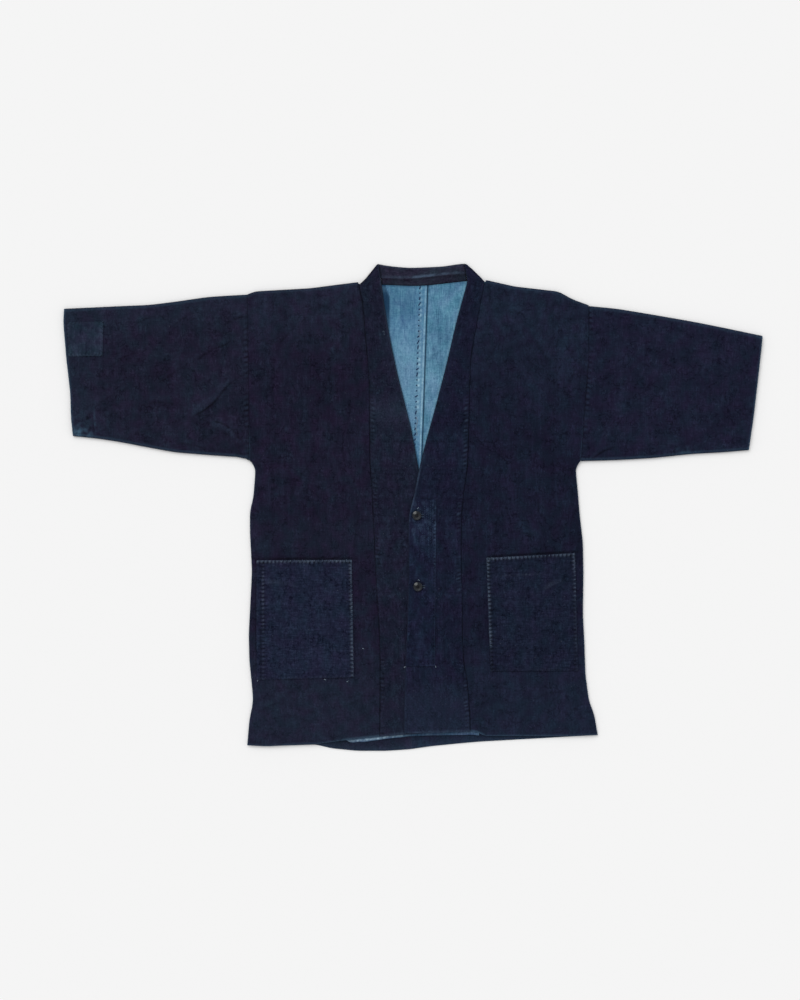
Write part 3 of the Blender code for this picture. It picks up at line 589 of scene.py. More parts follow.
class Shading:
    """A material's node tree, written in short steps."""

    SHARE, LOW, HIGH, MIXED = 0, 6, 7, 2

    def __init__(self, name: str) -> None:
        """Starts a material with a Principled BSDF."""
        self.material = bpy.data.materials.new(name)
        self.material.use_nodes = True
        self.tree = self.material.node_tree
        self.shader = self.tree.nodes["Principled BSDF"]

    def chart(self) -> Socket:
        """The place on the cloth in metres, x along the weft and y along the warp."""
        return add_node(self.tree, "ShaderNodeUVMap", uv_map=ClothWall.CHART).outputs["UV"]

    def place(self) -> Socket:
        """The place in the jacket in metres."""
        return add_node(self.tree, "ShaderNodeTexCoord").outputs["Object"]

    def attribute(self, name: str) -> Socket:
        """A value stored on the mesh's points."""
        return add_node(self.tree, "ShaderNodeAttribute", attribute_name=name).outputs["Fac"]

    def math(self, operation: str, *values: Value, clamp: bool = False) -> Socket:
        """One step of arithmetic."""
        inputs = dict(enumerate(values))
        return add_node(self.tree, "ShaderNodeMath", inputs, operation=operation, use_clamp=clamp).outputs[0]

    def scaled(self, value: Socket, factor: Value, base: Value, clamp: bool = False) -> Socket:
        """A value times a factor, on top of a base."""
        return self.math("MULTIPLY_ADD", value, factor, base, clamp=clamp)

    def noise(self, vector: Socket, x: float, y: float, detail: float = 2.0) -> Socket:
        """Noise with x and y cycles a metre, from -1 to 1 about its middle."""
        stretch = add_node(self.tree, "ShaderNodeMapping", {"Scale": (x, y, x), "Vector": vector})
        inputs = {"Scale": 1.0, "Detail": detail, "Vector": stretch.outputs["Vector"]}
        return self.scaled(add_node(self.tree, "ShaderNodeTexNoise", inputs).outputs["Fac"], 4.0, -2.0)

    def wrinkles(self, vector: Socket, across: float, up: float, wide: float) -> Socket:
        """Short thin creases where a noise crosses its middle, from 0 to 1.

        Args:
            vector: The place on the cloth.
            across: Cycles a metre across.
            up: Cycles a metre up.
            wide: How wide the creases are, as a share of the noise.

        Returns:
            1 in a crease's middle.
        """
        away = self.math("ABSOLUTE", self.noise(vector, across, up))
        line = self.scaled(away, -1.0 / wide, 1.0, clamp=True)
        gate = self.scaled(self.noise(vector, 0.55 * up, 0.55 * across), 2.2, 0.1, clamp=True)
        return self.math("MULTIPLY", line, gate)

    def mix(self, share: Value, low: Value, high: Value, blend: str = "MIX") -> Socket:
        """Mixes two colours."""
        inputs = {self.SHARE: share, self.LOW: low, self.HIGH: high}
        mixer = add_node(self.tree, "ShaderNodeMix", inputs, data_type="RGBA", blend_type=blend)
        return mixer.outputs[self.MIXED]

    def ramp(self, value: Socket, colours: Sequence[Colour]) -> Socket:
        """Colours spread evenly over values from -1 to 1."""
        node = add_node(self.tree, "ShaderNodeValToRGB", {"Fac": self.scaled(value, 0.5, 0.5, clamp=True)})
        stops = node.color_ramp.elements
        while len(stops) < len(colours):
            stops.new(0.5)
        for number, colour in enumerate(colours):
            stops[number].position = number / (len(colours) - 1)
            stops[number].color = linear(colour)
        return node.outputs["Color"]

    def bump(self, height: Socket, depth: float) -> None:
        """Raises the surface by depth metres where height is 1."""
        node = add_node(self.tree, "ShaderNodeBump", {"Distance": depth, "Strength": 1.0, "Height": height})
        self.tree.links.new(node.outputs["Normal"], self.shader.inputs["Normal"])

    def finish(self, colour: Socket, roughness: float, gloss: float, sheen: float) -> Material:
        """Sets what the whole surface shares.

        Args:
            colour: The surface's colour.
            roughness: Its roughness.
            gloss: Its specular level.
            sheen: The soft light that its fuzz catches.

        Returns:
            The material.
        """
        self.tree.links.new(colour, self.shader.inputs["Base Color"])
        self.shader.inputs["Roughness"].default_value = roughness
        self.shader.inputs["Specular IOR Level"].default_value = gloss
        self.shader.inputs["Sheen Weight"].default_value = sheen
        self.shader.inputs["Sheen Roughness"].default_value = 0.5
        return self.material


@dataclass(frozen=True)
class ClothFinish:
    """Hand-woven cotton: its dye from deep to pale, its worn colour, and how much each unevenness shows."""

    deep: Colour
    middle: Colour
    pale: Colour
    worn: Colour
    # The colour that the shade attribute darkens the dye towards, for painted shade and dark seam lines.
    shade_colour: Colour = (0, 0, 0)
    streaks: float = 0.22
    cross: float = 0.18
    mottle: float = 0.27
    crumple: float = 0.2
    speck: float = 0.15
    wrinkle: float = 0.8
    fleck: float = 0.16
    tint: float = 0.15
    long: float = 1.0
    thread: float = 0.0009

    FLECK = (116, 120, 136)
    SHEEN = 0.02
    GLOSS = 0.06
    ROUGH = 0.92
    RELIEF = 0.00018

    def material(self, name: str) -> Material:
        """Dyes and weaves the cloth.

        Args:
            name: The material's name.

        Returns:
            The material.
        """
        nodes = Shading(name)
        chart = nodes.chart()
        # Each layer of noise: its cycles a metre across and along, its detail, and how much it shows.
        layers = (
            (560.0, 60.0, 3.0, self.streaks), (170.0, 11.0, 2.0, self.streaks * 0.6),
            (70.0, 480.0, 2.0, self.cross), (34.0, 26.0 / self.long, 3.0, self.mottle),
            (9.0, 7.0, 2.0, self.mottle * 0.5), (380.0, 300.0, 1.0, self.speck),
            (150.0, 105.0 / self.long, 3.0, self.crumple),
        )
        parts = [nodes.noise(chart, x, y, detail) for x, y, detail, _ in layers]
        streaky, _, crossed, _, _, specks, crumpled = parts
        long, short = nodes.wrinkles(chart, 52.0, 66.0, 0.1), nodes.wrinkles(chart, 95.0, 74.0, 0.16)
        creased = nodes.math("MAXIMUM", long, short)
        scratched = nodes.wrinkles(chart, 132.0, 50.0, 0.15)
        tone = nodes.scaled(scratched, 0.6 * self.wrinkle, nodes.math("MULTIPLY", creased, -self.wrinkle))
        for part, (*_, strength) in zip(parts, layers):
            tone = nodes.scaled(part, strength, tone)
        dyed = nodes.ramp(tone, (self.deep, self.middle, self.pale))
        hue = nodes.scaled(nodes.noise(chart, 47.0, 38.0), 0.75, 0.5, clamp=True)
        purple = (1.0 + self.tint, 1.0 - 0.8 * self.tint, 1.0, 1.0)
        green = (1.0 - self.tint, 1.0 + 0.8 * self.tint, 1.0, 1.0)
        dyed = nodes.mix(1.0, dyed, nodes.mix(hue, purple, green), "MULTIPLY")
        flecks = nodes.scaled(nodes.noise(chart, 400.0, 310.0, 1.0), 1.6, -1.3, clamp=True)
        dyed = nodes.mix(nodes.math("MULTIPLY", flecks, self.fleck), dyed, linear(self.FLECK))
        patchy = nodes.scaled(specks, 0.35, 1.0)
        rubbed = nodes.math("MULTIPLY", nodes.attribute(ClothWall.WEAR), patchy, clamp=True)
        dyed = nodes.mix(rubbed, dyed, linear(self.worn))
        # The shade attribute darkens the dye towards the shade colour, for painted shade and dark seam lines.
        dark = nodes.scaled(nodes.attribute(ClothWall.SHADE), -0.92, 1.0, clamp=True)
        shaded = nodes.mix(dark, linear(self.shade_colour), dyed)
        axes = add_node(nodes.tree, "ShaderNodeSeparateXYZ", {0: chart}).outputs[:2]
        waves = [nodes.math("SINE", nodes.math("MULTIPLY", axis, math.tau / self.thread)) for axis in axes]
        slub = nodes.scaled(streaky, 0.5, nodes.math("MULTIPLY", crossed, 0.5))
        slub = nodes.scaled(creased, -1.5, nodes.scaled(crumpled, 1.2, slub))
        nodes.bump(nodes.scaled(nodes.math("MULTIPLY", *waves), 0.35, slub), self.RELIEF)
        return nodes.finish(shaded, self.ROUGH, self.GLOSS, self.SHEEN)


class Cloth(Enum):
    """The cloths that the jacket is made and mended with."""

    BODY_RIGHT = ClothFinish((10, 10, 26), (25, 25.5, 43.5), (40, 43, 65), (64, 88, 110), tint=0.17, long=1.9)
    BODY_LEFT = ClothFinish((8, 10, 26), (22, 25.5, 44), (36, 43, 66), (62, 88, 112), long=1.9)
    SLEEVE_RIGHT = ClothFinish((12, 13, 28), (27, 28.5, 46), (42, 47, 67), (62, 90, 112))
    SLEEVE_LEFT = ClothFinish((10, 12, 29), (25, 28, 47.5), (40, 46, 69), (62, 90, 112))
    BAND_RIGHT = ClothFinish(
        (10, 13, 29), (25, 28.3, 45.5), (41, 47.5, 68), (72, 90, 112), crumple=0.32, fleck=0.28, speck=0.26,
        mottle=0.2, long=1.6,
    )
    BAND_LEFT = ClothFinish(
        (8, 11, 28), (22, 26, 45.5), (36, 44, 67), (68, 88, 112), crumple=0.33, fleck=0.26, speck=0.22,
        mottle=0.23, long=1.6,
    )
    STAND = ClothFinish(
        (9, 13, 31), (23, 29, 49.5), (39, 50, 75), (74, 96, 124), crumple=0.34, speck=0.24, long=1.5,
    )
    POCKET_RIGHT = ClothFinish(
        (9, 14, 32), (27.2, 33, 53), (44.5, 52, 77), (100, 114, 132), crumple=0.36, cross=0.34, fleck=0.3,
        tint=0.12, mottle=0.17, speck=0.28,
    )
    POCKET_LEFT = ClothFinish(
        (7, 12, 28), (22.5, 28.5, 47), (38, 46.5, 69), (96, 110, 130), crumple=0.36, cross=0.32, fleck=0.28,
        tint=0.12, mottle=0.16, speck=0.26,
    )
    MEND = ClothFinish(
        (17, 25, 41), (34, 43, 60), (53, 65, 85), (84, 100, 122), mottle=0.5, crumple=0.44, wrinkle=0.4,
    )
    COLLAR_INSIDE = ClothFinish(
        (21, 23, 38), (37, 39.5, 55.5), (54, 59, 77), (74, 90, 112), crumple=0.34, speck=0.3,
    )
    # The linings and the rim give a fifth colour, that of their painted shade and dark seams.
    LINING_BLUE = ClothFinish(
        (47, 90, 129), (81, 126, 158), (115, 161, 190), (150, 188, 208), (16, 44, 72), streaks=0.42,
        cross=0.2, mottle=0.3, crumple=0.2, speck=0.26, wrinkle=0.2, fleck=0.0, tint=0.05, thread=0.0011,
    )
    LINING_TEAL = ClothFinish(
        (46, 89, 120), (83.5, 129, 158), (119, 167, 192), (146, 184, 203), (16, 44, 64), streaks=0.42,
        cross=0.22, mottle=0.5, crumple=0.22, speck=0.26, wrinkle=0.2, fleck=0.0, tint=0.06, thread=0.0011,
    )
    RIM = ClothFinish(
        (34, 54, 80), (62, 86, 114), (96, 122, 148), (152, 178, 196), (14, 16, 30), streaks=0.3, tint=0.05,
    )


@dataclass(frozen=True)
class ThreadFinish:
    """Cotton sewing thread."""

    colour: Colour
    pale: Colour

    def material(self, name: str) -> Material:
        """Dyes the thread unevenly and rubs it here and there."""
        nodes = Shading(name)
        place = nodes.place()
        colour = nodes.ramp(nodes.noise(place, 260.0, 260.0), (self.colour, self.colour, self.pale))
        nodes.bump(nodes.noise(place, 2600.0, 2600.0), depth=0.00008)
        return nodes.finish(colour, roughness=0.85, gloss=0.15, sheen=0.05)


class Thread(Enum):
    """The threads that sew the jacket."""

    DARK = ThreadFinish((14, 17, 32), (30, 36, 56))
    DARN = ThreadFinish((34, 48, 74), (58, 78, 104))
    WORN = ThreadFinish((58, 72, 92), (104, 118, 134))
    NAVY = ThreadFinish((26, 48, 86), (56, 84, 122))
    LIGHT = ThreadFinish((128, 146, 164), (176, 188, 196))


@cache
def material_of(kind: Cloth | Thread) -> Material:
    """The material of a cloth or a thread, made once."""
    suffix = "_cotton" if isinstance(kind, Cloth) else "_thread"
    return kind.value.material(kind.name.lower() + suffix)


@dataclass(frozen=True)
class HornFinish:
    """Dark buffalo horn with paler streaks, painted shade in its dish and a painted highlight on one side of
    its rim.
    """

    spot: Line
    dark: Colour = (12, 18, 27)
    streak: Colour = (38, 41, 46)
    # Painted shade: the dark colour in the dish round the holes.
    dish_shade: Colour = (3, 3, 5)
    # Painted highlight: the pale colour of a glint on one side of the rim.
    rubbed: Colour = (128, 130, 130)

    def material(self, name: str) -> Material:
        """Polishes the horn and scratches it finely, with painted shade in its dish and a painted highlight
        on its rim.
        """
        nodes = Shading(name)
        place = nodes.place()
        grain = nodes.noise(place, 700.0, 160.0, 4.0)
        nodes.bump(nodes.noise(place, 1500.0, 700.0, 3.0), depth=0.00005)
        horn = nodes.ramp(grain, (self.dark, self.dark, self.streak))
        # Painted shade in the dish round the holes.
        dish = nodes.scaled(self.distance(nodes, place, 0.0, 0.0), -550.0, 2.6, clamp=True)
        horn = nodes.mix(nodes.math("MULTIPLY", dish, 0.8), horn, linear(self.dish_shade))
        # Painted highlight: a pale spot on one side of the rim.
        worn = nodes.scaled(self.distance(nodes, place, -3.4, 5.0), -620.0, 2.2, clamp=True)
        horn = nodes.mix(nodes.math("MULTIPLY", worn, 0.7), horn, linear(self.rubbed))
        return nodes.finish(horn, roughness=0.36, gloss=0.3, sheen=0.0)

    def distance(self, nodes: Shading, place: Socket, x: float, y: float) -> Socket:
        """How far the surface is from a spot on the button's face, in metres."""
        spot = ((self.spot.x + x) * MM, (self.spot.y + y) * MM, (STAND_LEVEL + 4.0) * MM)
        gap = add_node(nodes.tree, "ShaderNodeVectorMath", {0: place, 1: spot}, operation="DISTANCE")
        return gap.outputs["Value"]


@dataclass(frozen=True)
class PaperFinish:
    """The pale floor."""

    colour: Colour = (250, 250, 250)

    def material(self, name: str) -> Material:
        """A matt floor, barely uneven."""
        nodes = Shading(name)
        paper = nodes.ramp(nodes.noise(nodes.place(), 3.0, 3.0), (self.colour, self.colour))
        return nodes.finish(paper, roughness=0.95, gloss=0.0, sheen=0.0)


class Cut(NamedTuple):
    """What a cloth piece stands for and how it was cut, with its flat size and its area in metres."""

    node: str
    slot: str
    held: str
    rests_on: tuple[str, ...]
    flat: tuple[float, float]
    area: float | None = None


@dataclass
class ClothWall:
    """One closed cloth wall, built on the grid of its middle surface with its rims rounded off.

    The grid's arrays have a row for each row of points. A face that isn't kept is left out, and a tube's last
    row meets its first one.
    """

    CHART = "cloth"
    # Point marks: how worn each point is, and its shade, which paints shade and dark seam lines.
    WEAR = "wear"
    SHADE = "shade"
    INSIDE_MARKS = 0.4
    BEFORE, AFTER = slice(None, -1), slice(1, None)
    CORNERS = ((BEFORE, BEFORE), (BEFORE, AFTER), (AFTER, AFTER), (AFTER, BEFORE))

    name: str
    x: Array
    y: Array
    z: Array
    thickness: float
    warp: Array
    wear: Array
    shade: Array
    kept: Array | None = None
    tube: bool = False
    weft: Array | None = None

    def gathered(self, total: Array, share: Array) -> Array:
        """Adds each face's share to its four corners, and joins the ends of a tube."""
        for corner in self.CORNERS:
            total[corner] += share
        if self.tube:
            total[0] = total[-1] = total[0] + total[-1]
        return total

    def normals(self, points: Array, kept: Array) -> Array:
        """The surface's normals, from the kept faces round each point.

        Args:
            points: The grid of points.
            kept: Which faces there are.

        Returns:
            A unit vector for each point.
        """
        side, up = points[:, 1:] - points[:, :-1], points[1:] - points[:-1]
        face = np.cross(side[:-1] + side[1:], up[:, :-1] + up[:, 1:]) * kept[..., None]
        total = self.gathered(np.zeros_like(points), face)
        return total / np.maximum(np.linalg.norm(total, axis=2, keepdims=True), 1e-9)

    @staticmethod
    def rim_distance(points: Array, rim: Array) -> Array:
        """How far each point lies from the nearest rim, along its row or its column."""
        far = np.where(rim, 0.0, 1e6)
        for axis in (0, 1):
            grid, view = np.moveaxis(points, axis, 0), np.moveaxis(far, axis, 0)
            gap = np.linalg.norm(grid[1:] - grid[:-1], axis=2)
            for k in range(len(gap)):
                view[k + 1] = np.minimum(view[k + 1], view[k] + gap[k])
            for k in reversed(range(len(gap))):
                view[k] = np.minimum(view[k], view[k + 1] + gap[k])
        return far

    def build(self, kind: Cloth, cut: Cut) -> Item:
        """Makes the wall's piece.

        Args:
            kind: Its cloth.
            cut: What it stands for and how it was cut.

        Returns:
            The piece.
        """
        z = self.z + Relief.lift(self.x, self.y)
        points = np.stack([self.x, self.y, z], axis=2)
        chart = np.stack([self.x if self.weft is None else self.weft, self.warp], axis=2) * MM
        marks = np.clip(np.stack([self.wear, self.shade], axis=2), 0.0, 1.0)
        rows, columns = z.shape
        kept = np.ones((rows - 1, columns - 1), bool) if self.kept is None else self.kept
        normals = self.normals(points, kept)
        highest = np.unravel_index(np.argmax(np.where(np.abs(normals[..., 2]) > 0.5, z, -1e6)), z.shape)
        if normals[highest][2] < 0:
            points, chart, marks, kept = points[:, ::-1], chart[:, ::-1], marks[:, ::-1], kept[:, ::-1]
            normals = -normals[:, ::-1]
        around = self.gathered(np.zeros((rows, columns), int), kept)
        used, rim = around > 0, (around > 0) & (around < len(self.CORNERS))
        half = self.thickness / 2
        inward = 1.0 - np.minimum(self.rim_distance(points, rim) / half, 1.0)
        offset = normals * (half * np.sqrt(1.0 - inward**2))[..., None]
        if self.tube:
            used[-1] = False
        outer = np.full((rows, columns), -1)
        outer[used] = np.arange(used.sum())
        inner, lined = outer.copy(), used & ~rim
        inner[lined] = np.arange(lined.sum()) + used.sum()
        if self.tube:
            outer[-1], inner[-1] = outer[0], inner[0]
        upper = np.stack([outer[c][kept] for c in self.CORNERS], axis=1)
        lower = np.stack([inner[c][kept] for c in reversed(self.CORNERS)], axis=1)
        places = np.stack([chart[c][kept] for c in self.CORNERS], axis=1)
        verts = np.concatenate([(points + offset)[used], (points - offset)[lined]]) * MM
        mesh = bpy.data.meshes.new(self.name)
        mesh.from_pydata(verts.tolist(), [], np.concatenate([upper, lower]).tolist())
        layer = mesh.uv_layers.new(name=self.CHART)
        layer.data.foreach_set("uv", np.concatenate([places, places[:, ::-1]]).astype(np.float32).ravel())
        for name, mark in zip((self.WEAR, self.SHADE), np.moveaxis(marks, 2, 0)):
            store = mesh.attributes.new(name, "FLOAT", "POINT")
            value = np.concatenate([mark[used], self.INSIDE_MARKS * mark[lined]])
            store.data.foreach_set("value", value.astype(np.float32))
        mesh.shade_smooth()
        mesh.materials.append(material_of(kind))
        item = mounted(placed(self.name, mesh), cut.node)
        return item


def seam_shadow(aside: Array, y: Array, on_left: bool) -> Array:
    """The broken dark line of a band's seam. At the neck it deepens on the right and fades on the left."""
    upper = ease((y - 230) / 90)
    broken = 0.12 + 0.62 * Dimples.strength(1.6 * y + 17)
    if on_left:
        return broken * (1 - 0.6 * upper) * near(aside, 1.7)
    return (broken + 0.2 * upper) * near(aside, 1.7 + 1.1 * upper)


@dataclass
class CollarBand:
    """A collar band doubled along its free edge, with its raw edges in the seam."""

    side: str
    rows: Sequence[BandRow]
    kind: Cloth
    laps: bool
    rests_on: tuple[str, ...]
    rung_wear: float
    low_wear: float
    spot_wear: float

    PITCH = 7.0
    PINCH = 0.5
    SOFTENING = 0.2
    LADDER_TOP = 250.0
    LADDER_FADE = 120.0
    REACH = 88.0
    BESIDE_SEAM = 15.0
    STEPS = (1.5, 2.7)
    READINGS = 600

    def section(self, along: Array) -> BandRow:
        """The band's section at row number along, its corners softened."""
        stops = range(len(self.rows))
        return BandRow(*(bent(along, stops, column, self.SOFTENING) for column in zip(*self.rows)))

    def read(self) -> BandRow:
        """The band's section all along its length."""
        return self.section(np.linspace(0, len(self.rows) - 1, self.READINGS))

    def seam(self) -> tuple[Array, Array]:
        """The seam's heights and its x at each of them, below the neck."""
        section = self.read()
        below = section.seam_y < FRONT_TOP_ROW
        return section.seam_y[below], section.seam_x[below]

    def free_x(self, y: Array) -> Array:
        """The x of the folded edge at height y."""
        section = self.read()
        return np.interp(y, section.free_y, section.free_x)

    def level(self, x: Array, y: Array, ledge_x: Array) -> Array:
        """The middle of the lower layer."""
        drop = (BAND_LOW_MID - COLLAR_LOW_MID) * ease((y - y_at(NECK, x) - 0.6) / NECK_RUN)
        rise = OVERLAP_RISE * ease(1 - (x - ledge_x) / LEDGE_RUN) if self.laps else 0.0
        return BAND_LOW_MID - drop + rise

    def grid(self) -> tuple[Array, Array]:
        """The mesh's columns (0 to 1 below, 1 to 2 in the fold, 2 to 3 on top) and its rows by row number."""
        below = spread(self.REACH, HIDDEN, (True, False))
        above = two_spreads(self.REACH, self.BESIDE_SEAM, self.STEPS, end_rim=False)
        across = np.concatenate([below, 1 + BAND_FOLD_STEPS, 3 - above[::-1]])
        pairs = zip(self.rows, self.rows[1:])
        steps = [math.hypot(b.seam_x - a.seam_x, b.seam_y - a.seam_y) for a, b in pairs]
        run = np.concatenate([[0.0], np.cumsum(steps)])
        return np.meshgrid(across, np.interp(spread(run[-1], ROW) * run[-1], run, range(len(self.rows))))

    def edge_wear(self, x: Array, y: Array, from_fold: Array) -> Array:
        """The wear of the folded edge and of the frayed end at the hem."""
        noise = 0.5 + 0.5 * sway(y, 9.0, 2.4, 31.0)
        worn = ease((y + 26) / 24) * ease((75 - y) / 20) if self.laps else 0.3 * ease((y - 60) / 60)
        fibres = 0.5 + 0.5 * sway(x, 1 / 1.9, 3, 3.7)
        low = y - y_at(HEM_FRONT, x)
        fray = 0.2 * (0.5 + 0.9 * fibres) * ease((4.6 - low) / 3.4) * ease((x + 22) / 26)
        fold = (0.05 + 0.35 * worn * (0.3 + 0.7 * noise)) * near(from_fold, 2.0)
        return fold + (fray if self.laps else 0.2 * near(low, 4.5))

    def build(self) -> Item:
        """Makes the band."""
        across, along = self.grid()
        section = self.section(along)
        run_x, run_y = section.free_x - section.seam_x, section.free_y - section.seam_y
        reach = np.hypot(run_x, run_y)
        layer = np.where(across <= 1, across, np.minimum(3 - across, 1.0))
        part = layer * (1 - BAND_REACH / reach)
        turn = half_turn(across, 1)
        out = part + BAND_FOLD * np.sin(turn) / reach
        x, y = section.seam_x + run_x * out, section.seam_y + run_y * out
        z = self.level(section.seam_x + run_x * part, section.seam_y + run_y * part, section.ledge_x)
        z = z + BAND_FOLD * (1 - np.cos(turn))
        from_seam, from_fold, top = reach * layer, reach * (1 - layer), across >= 2
        strength = Dimples.strength(y + 40 * self.laps)
        tight = top * (0.2 * strength + 0.75 * ease((strength - 0.36) / 0.4))
        tight = tight * ease((self.LADDER_TOP - y) / self.LADDER_FADE)
        aside = from_seam - 0.9 * sway(y, 5.1, 2.2, 19.0)
        rung = y + 0.25 * from_seam + 1.3 * sway(y, 5.7, 2.4, 27.0)
        dimple = tight * Dimples.at(rung, self.PITCH, 3.0) * near(aside - 4.5, 6.0)
        swell = 0.26 * (Relief.crinkle(x * 1.1 + 400, y) + 0.7) + 0.25 * near(from_seam - 2.0, 4.0)
        z = z - self.PINCH * dimple + top * swell * ease(from_fold / 6)
        uneven = 0.55 + 0.45 * sway(y, 3.7, 1.9, 11.0)
        rungs = tight * uneven * Dimples.bead(rung, self.PITCH) ** 2 * near(aside - 5.0, 5.2)
        low = self.low_wear * ease((-270 - y) / 50) + self.spot_wear * near(y - 156, 38.0)
        wear = self.rung_wear * rungs + top * low + self.edge_wear(x, y, from_fold)
        # Painted shade in the stitch dimples, over the seam's dark line.
        shade = seam_shadow(from_seam, y, self.laps) + 0.6 * dimple
        weft = from_seam + 300 * top
        wall = ClothWall(f"collar_{self.side}_band", x, y, z, BAND_CLOTH, y, wear, shade, weft=weft)
        cut = Cut(f"collar_{self.side}", "indigo", "folded", self.rests_on, flat=(0.19, 0.8), area=0.115)
        return wall.build(self.kind, cut)


class PanelWear(NamedTuple):
    """How much a body panel is worn at its hem, low down and in its middle, and where its rubbed top is."""

    hem: float
    low: float
    middle: float
    upper_from: float
    upper_run: float


@dataclass
class BodyPanel:
    """One loom width of the body: the front, the fold over the shoulder, and the back."""

    side: str
    sides: Sequence[Edge]
    armhole: Sequence[Edge]
    band: CollarBand
    neck_corner: float
    pocket: Patch
    lean: Patch
    kind: Cloth
    wears: PanelWear
    area: float

    @property
    def sign(self) -> float:
        """Minus for the right side and plus for the left."""
        return math.copysign(1.0, self.neck_corner)

    @property
    def width(self) -> float:
        """The panel's width from its side seam to the neck corner."""
        return abs(self.sides[-1].x - self.neck_corner)

    @property
    def neck_width(self) -> float:
        """The width from the neck corner to the centre seam."""
        return abs(self.neck_corner - CENTRE_SEAM[-1].x)

    def side_x(self, y: Array) -> Array:
        """The side seam, and above the underarm the armhole."""
        return np.where(y < self.armhole[0].y, x_at(self.sides, y), x_at(self.armhole, y))

    def opening_x(self, y: Array) -> Array:
        """The seam to the collar band, up to the neck corner."""
        seam_y, seam_x = self.band.seam()
        corner_y = float(self.fold_y(np.array(self.neck_corner)))
        below = seam_y < corner_y - 4
        stops = np.append(seam_y[below], corner_y)
        return np.interp(y, stops, np.append(seam_x[below], self.neck_corner)) - self.sign * SEAM_BITE

    def fold_y(self, x: Array) -> Array:
        """Where the cloth starts to fold over the shoulder."""
        return y_at(SHOULDER, x) - FOLD_REACH

    def inwards(self, across: Array, outer: Array, centre: Array) -> Array:
        """The x from the outer edge (0) over the neck corner (1) to the centre seam (2)."""
        inside = self.neck_corner + (centre - self.neck_corner) * (across - 1)
        return np.where(across <= 1, outer + (self.neck_corner - outer) * across, inside)

    def front(self, across: Array, up: Array) -> tuple[Array, ...]:
        """Lays out the front: x, y, and the x of its outer and inner edges with the y of its hem and fold."""
        y = np.full_like(across, self.armhole[0].y)
        for _ in range(SETTLE_ROUNDS):
            outer, inner = self.side_x(y), self.opening_x(y)
            x = outer + (inner - outer) * across
            hem, fold = y_at(HEM_FRONT, x), self.fold_y(x)
            y = hem + (fold - hem) * up
        return x, y, outer, inner, hem, fold

    def back(self, across: Array, down: Array) -> tuple[Array, ...]:
        """Lays out the back: x, y, the x of its outer edge and of the centre seam, and its hem."""
        y = np.full_like(across, self.armhole[0].y)
        for _ in range(SETTLE_ROUNDS):
            outer, centre = self.side_x(y), x_at(CENTRE_SEAM, y) - self.sign * SEAM_BITE / 2
            x = self.inwards(across, outer, centre)
            top, hem = np.where(across <= 1, self.fold_y(x), y_at(NECK, x)), y_at(HEM_BACK, x)
            y = top + (hem - top) * down
        return x, y, outer, centre, hem

    def front_height(self, x: Array, y: Array, edges: Sequence[Array], relief: Array) -> Array:
        """The middle of the front's wall.

        Args:
            x: Places across the jacket.
            y: Places up the jacket.
            edges: The front's outer and inner x, its hem and its fold.
            relief: The height of its creases.

        Returns:
            The heights.
        """
        outer, inner, hem, fold = edges
        height = FRONT_MID + relief * ease((fold - y) / FOLD_CALM)
        height = HEM_MID + (height - HEM_MID) * ease((y - hem) / HEM_ROLL) - 0.25 * near(x - inner, 4.0)
        closed = ease((self.armhole[0].y - y) / EDGE_ROLL)
        return height + (EDGE_MID - height) * closed * (1 - ease(np.abs(x - outer) / EDGE_ROLL))

    def front_wear(self, x: Array, y: Array, edges: Sequence[Array], relief: Array) -> Array:
        """Where the front is worn: its hem, edges and ridges (partly painted highlight), and rubbed parts
        high and low.

        Args:
            x: Places across the jacket.
            y: Places up the jacket.
            edges: The front's outer and inner x, its hem and its fold.
            relief: The height of its creases.

        Returns:
            The wear.
        """
        outer, _, hem, fold = edges
        low, past_arm = y - hem, y - self.armhole[0].y
        open_arm = ease(past_arm / 6)
        side = 0.32 * (1 - open_arm) + 0.3 * open_arm * ease((70 - past_arm) / 40)
        patchy = Relief.blotches(x * 1.3 + 210, y * 1.3)
        return (
            0.45 * near(low, 2.4)
            + side * near(x - outer, 2.2)
            + 0.16 * near(fold - y, 4.0)
            # Pale crease ridges, partly wear and partly a painted highlight.
            + 0.06 * ease((relief - 0.8) / 1.2)
            + 0.055 * (0.5 + patchy) * ease((y - self.wears.upper_from) / self.wears.upper_run)
            + self.wears.low * (0.7 + 0.6 * patchy) * ease((-200 - y) / 110)
            + self.wears.middle * near(y + 46, 52.0)
            + self.wears.hem * ease((5.0 - low) / 3.4) * ease((118 - np.abs(x)) / 6)
        )

    def front_shade(self, x: Array, y: Array, edges: Sequence[Array], lee: Array) -> Array:
        """The front's dark seam lines, painted shade along its creases, and painted shadow over the pocket's
        mouth.

        Args:
            x: Places across the jacket.
            y: Places up the jacket.
            edges: The front's outer and inner x, its hem and its fold.
            lee: The painted shade along its creases.

        Returns:
            The shade.
        """
        outer, inner, _, _ = edges
        tight = 0.5 + 0.5 * Dimples.strength(y)
        armhole = 0.44 * tight * near(x - outer, 1.6) * ease((y - self.armhole[0].y) / 6)
        share = (x - self.pocket.left) / (self.pocket.right - self.pocket.left)
        above = y - self.pocket.top - self.lean.top * (share - 0.5)
        # Painted shadow in the gap over the pocket's mouth.
        mouth = 0.75 * near(above - 2.2, 3.6) * near(share - 0.5, 0.56) ** 0.2
        return seam_shadow(x - inner, y, self.sign > 0) + armhole + 0.6 * lee + mouth

    @staticmethod
    def back_wear(x: Array, y: Array, edges: Sequence[Array]) -> Array:
        """Where the back is worn, by its outer edge, its centre seam and its hem."""
        outer, centre, hem = edges
        sides = 0.2 * near(x - outer, 3.0) + 0.15 * near(x - centre, 3.0)
        return sides + 0.62 * near(y - hem, 2.6) + 0.27 * ease((hem + 20 - y) / 8)

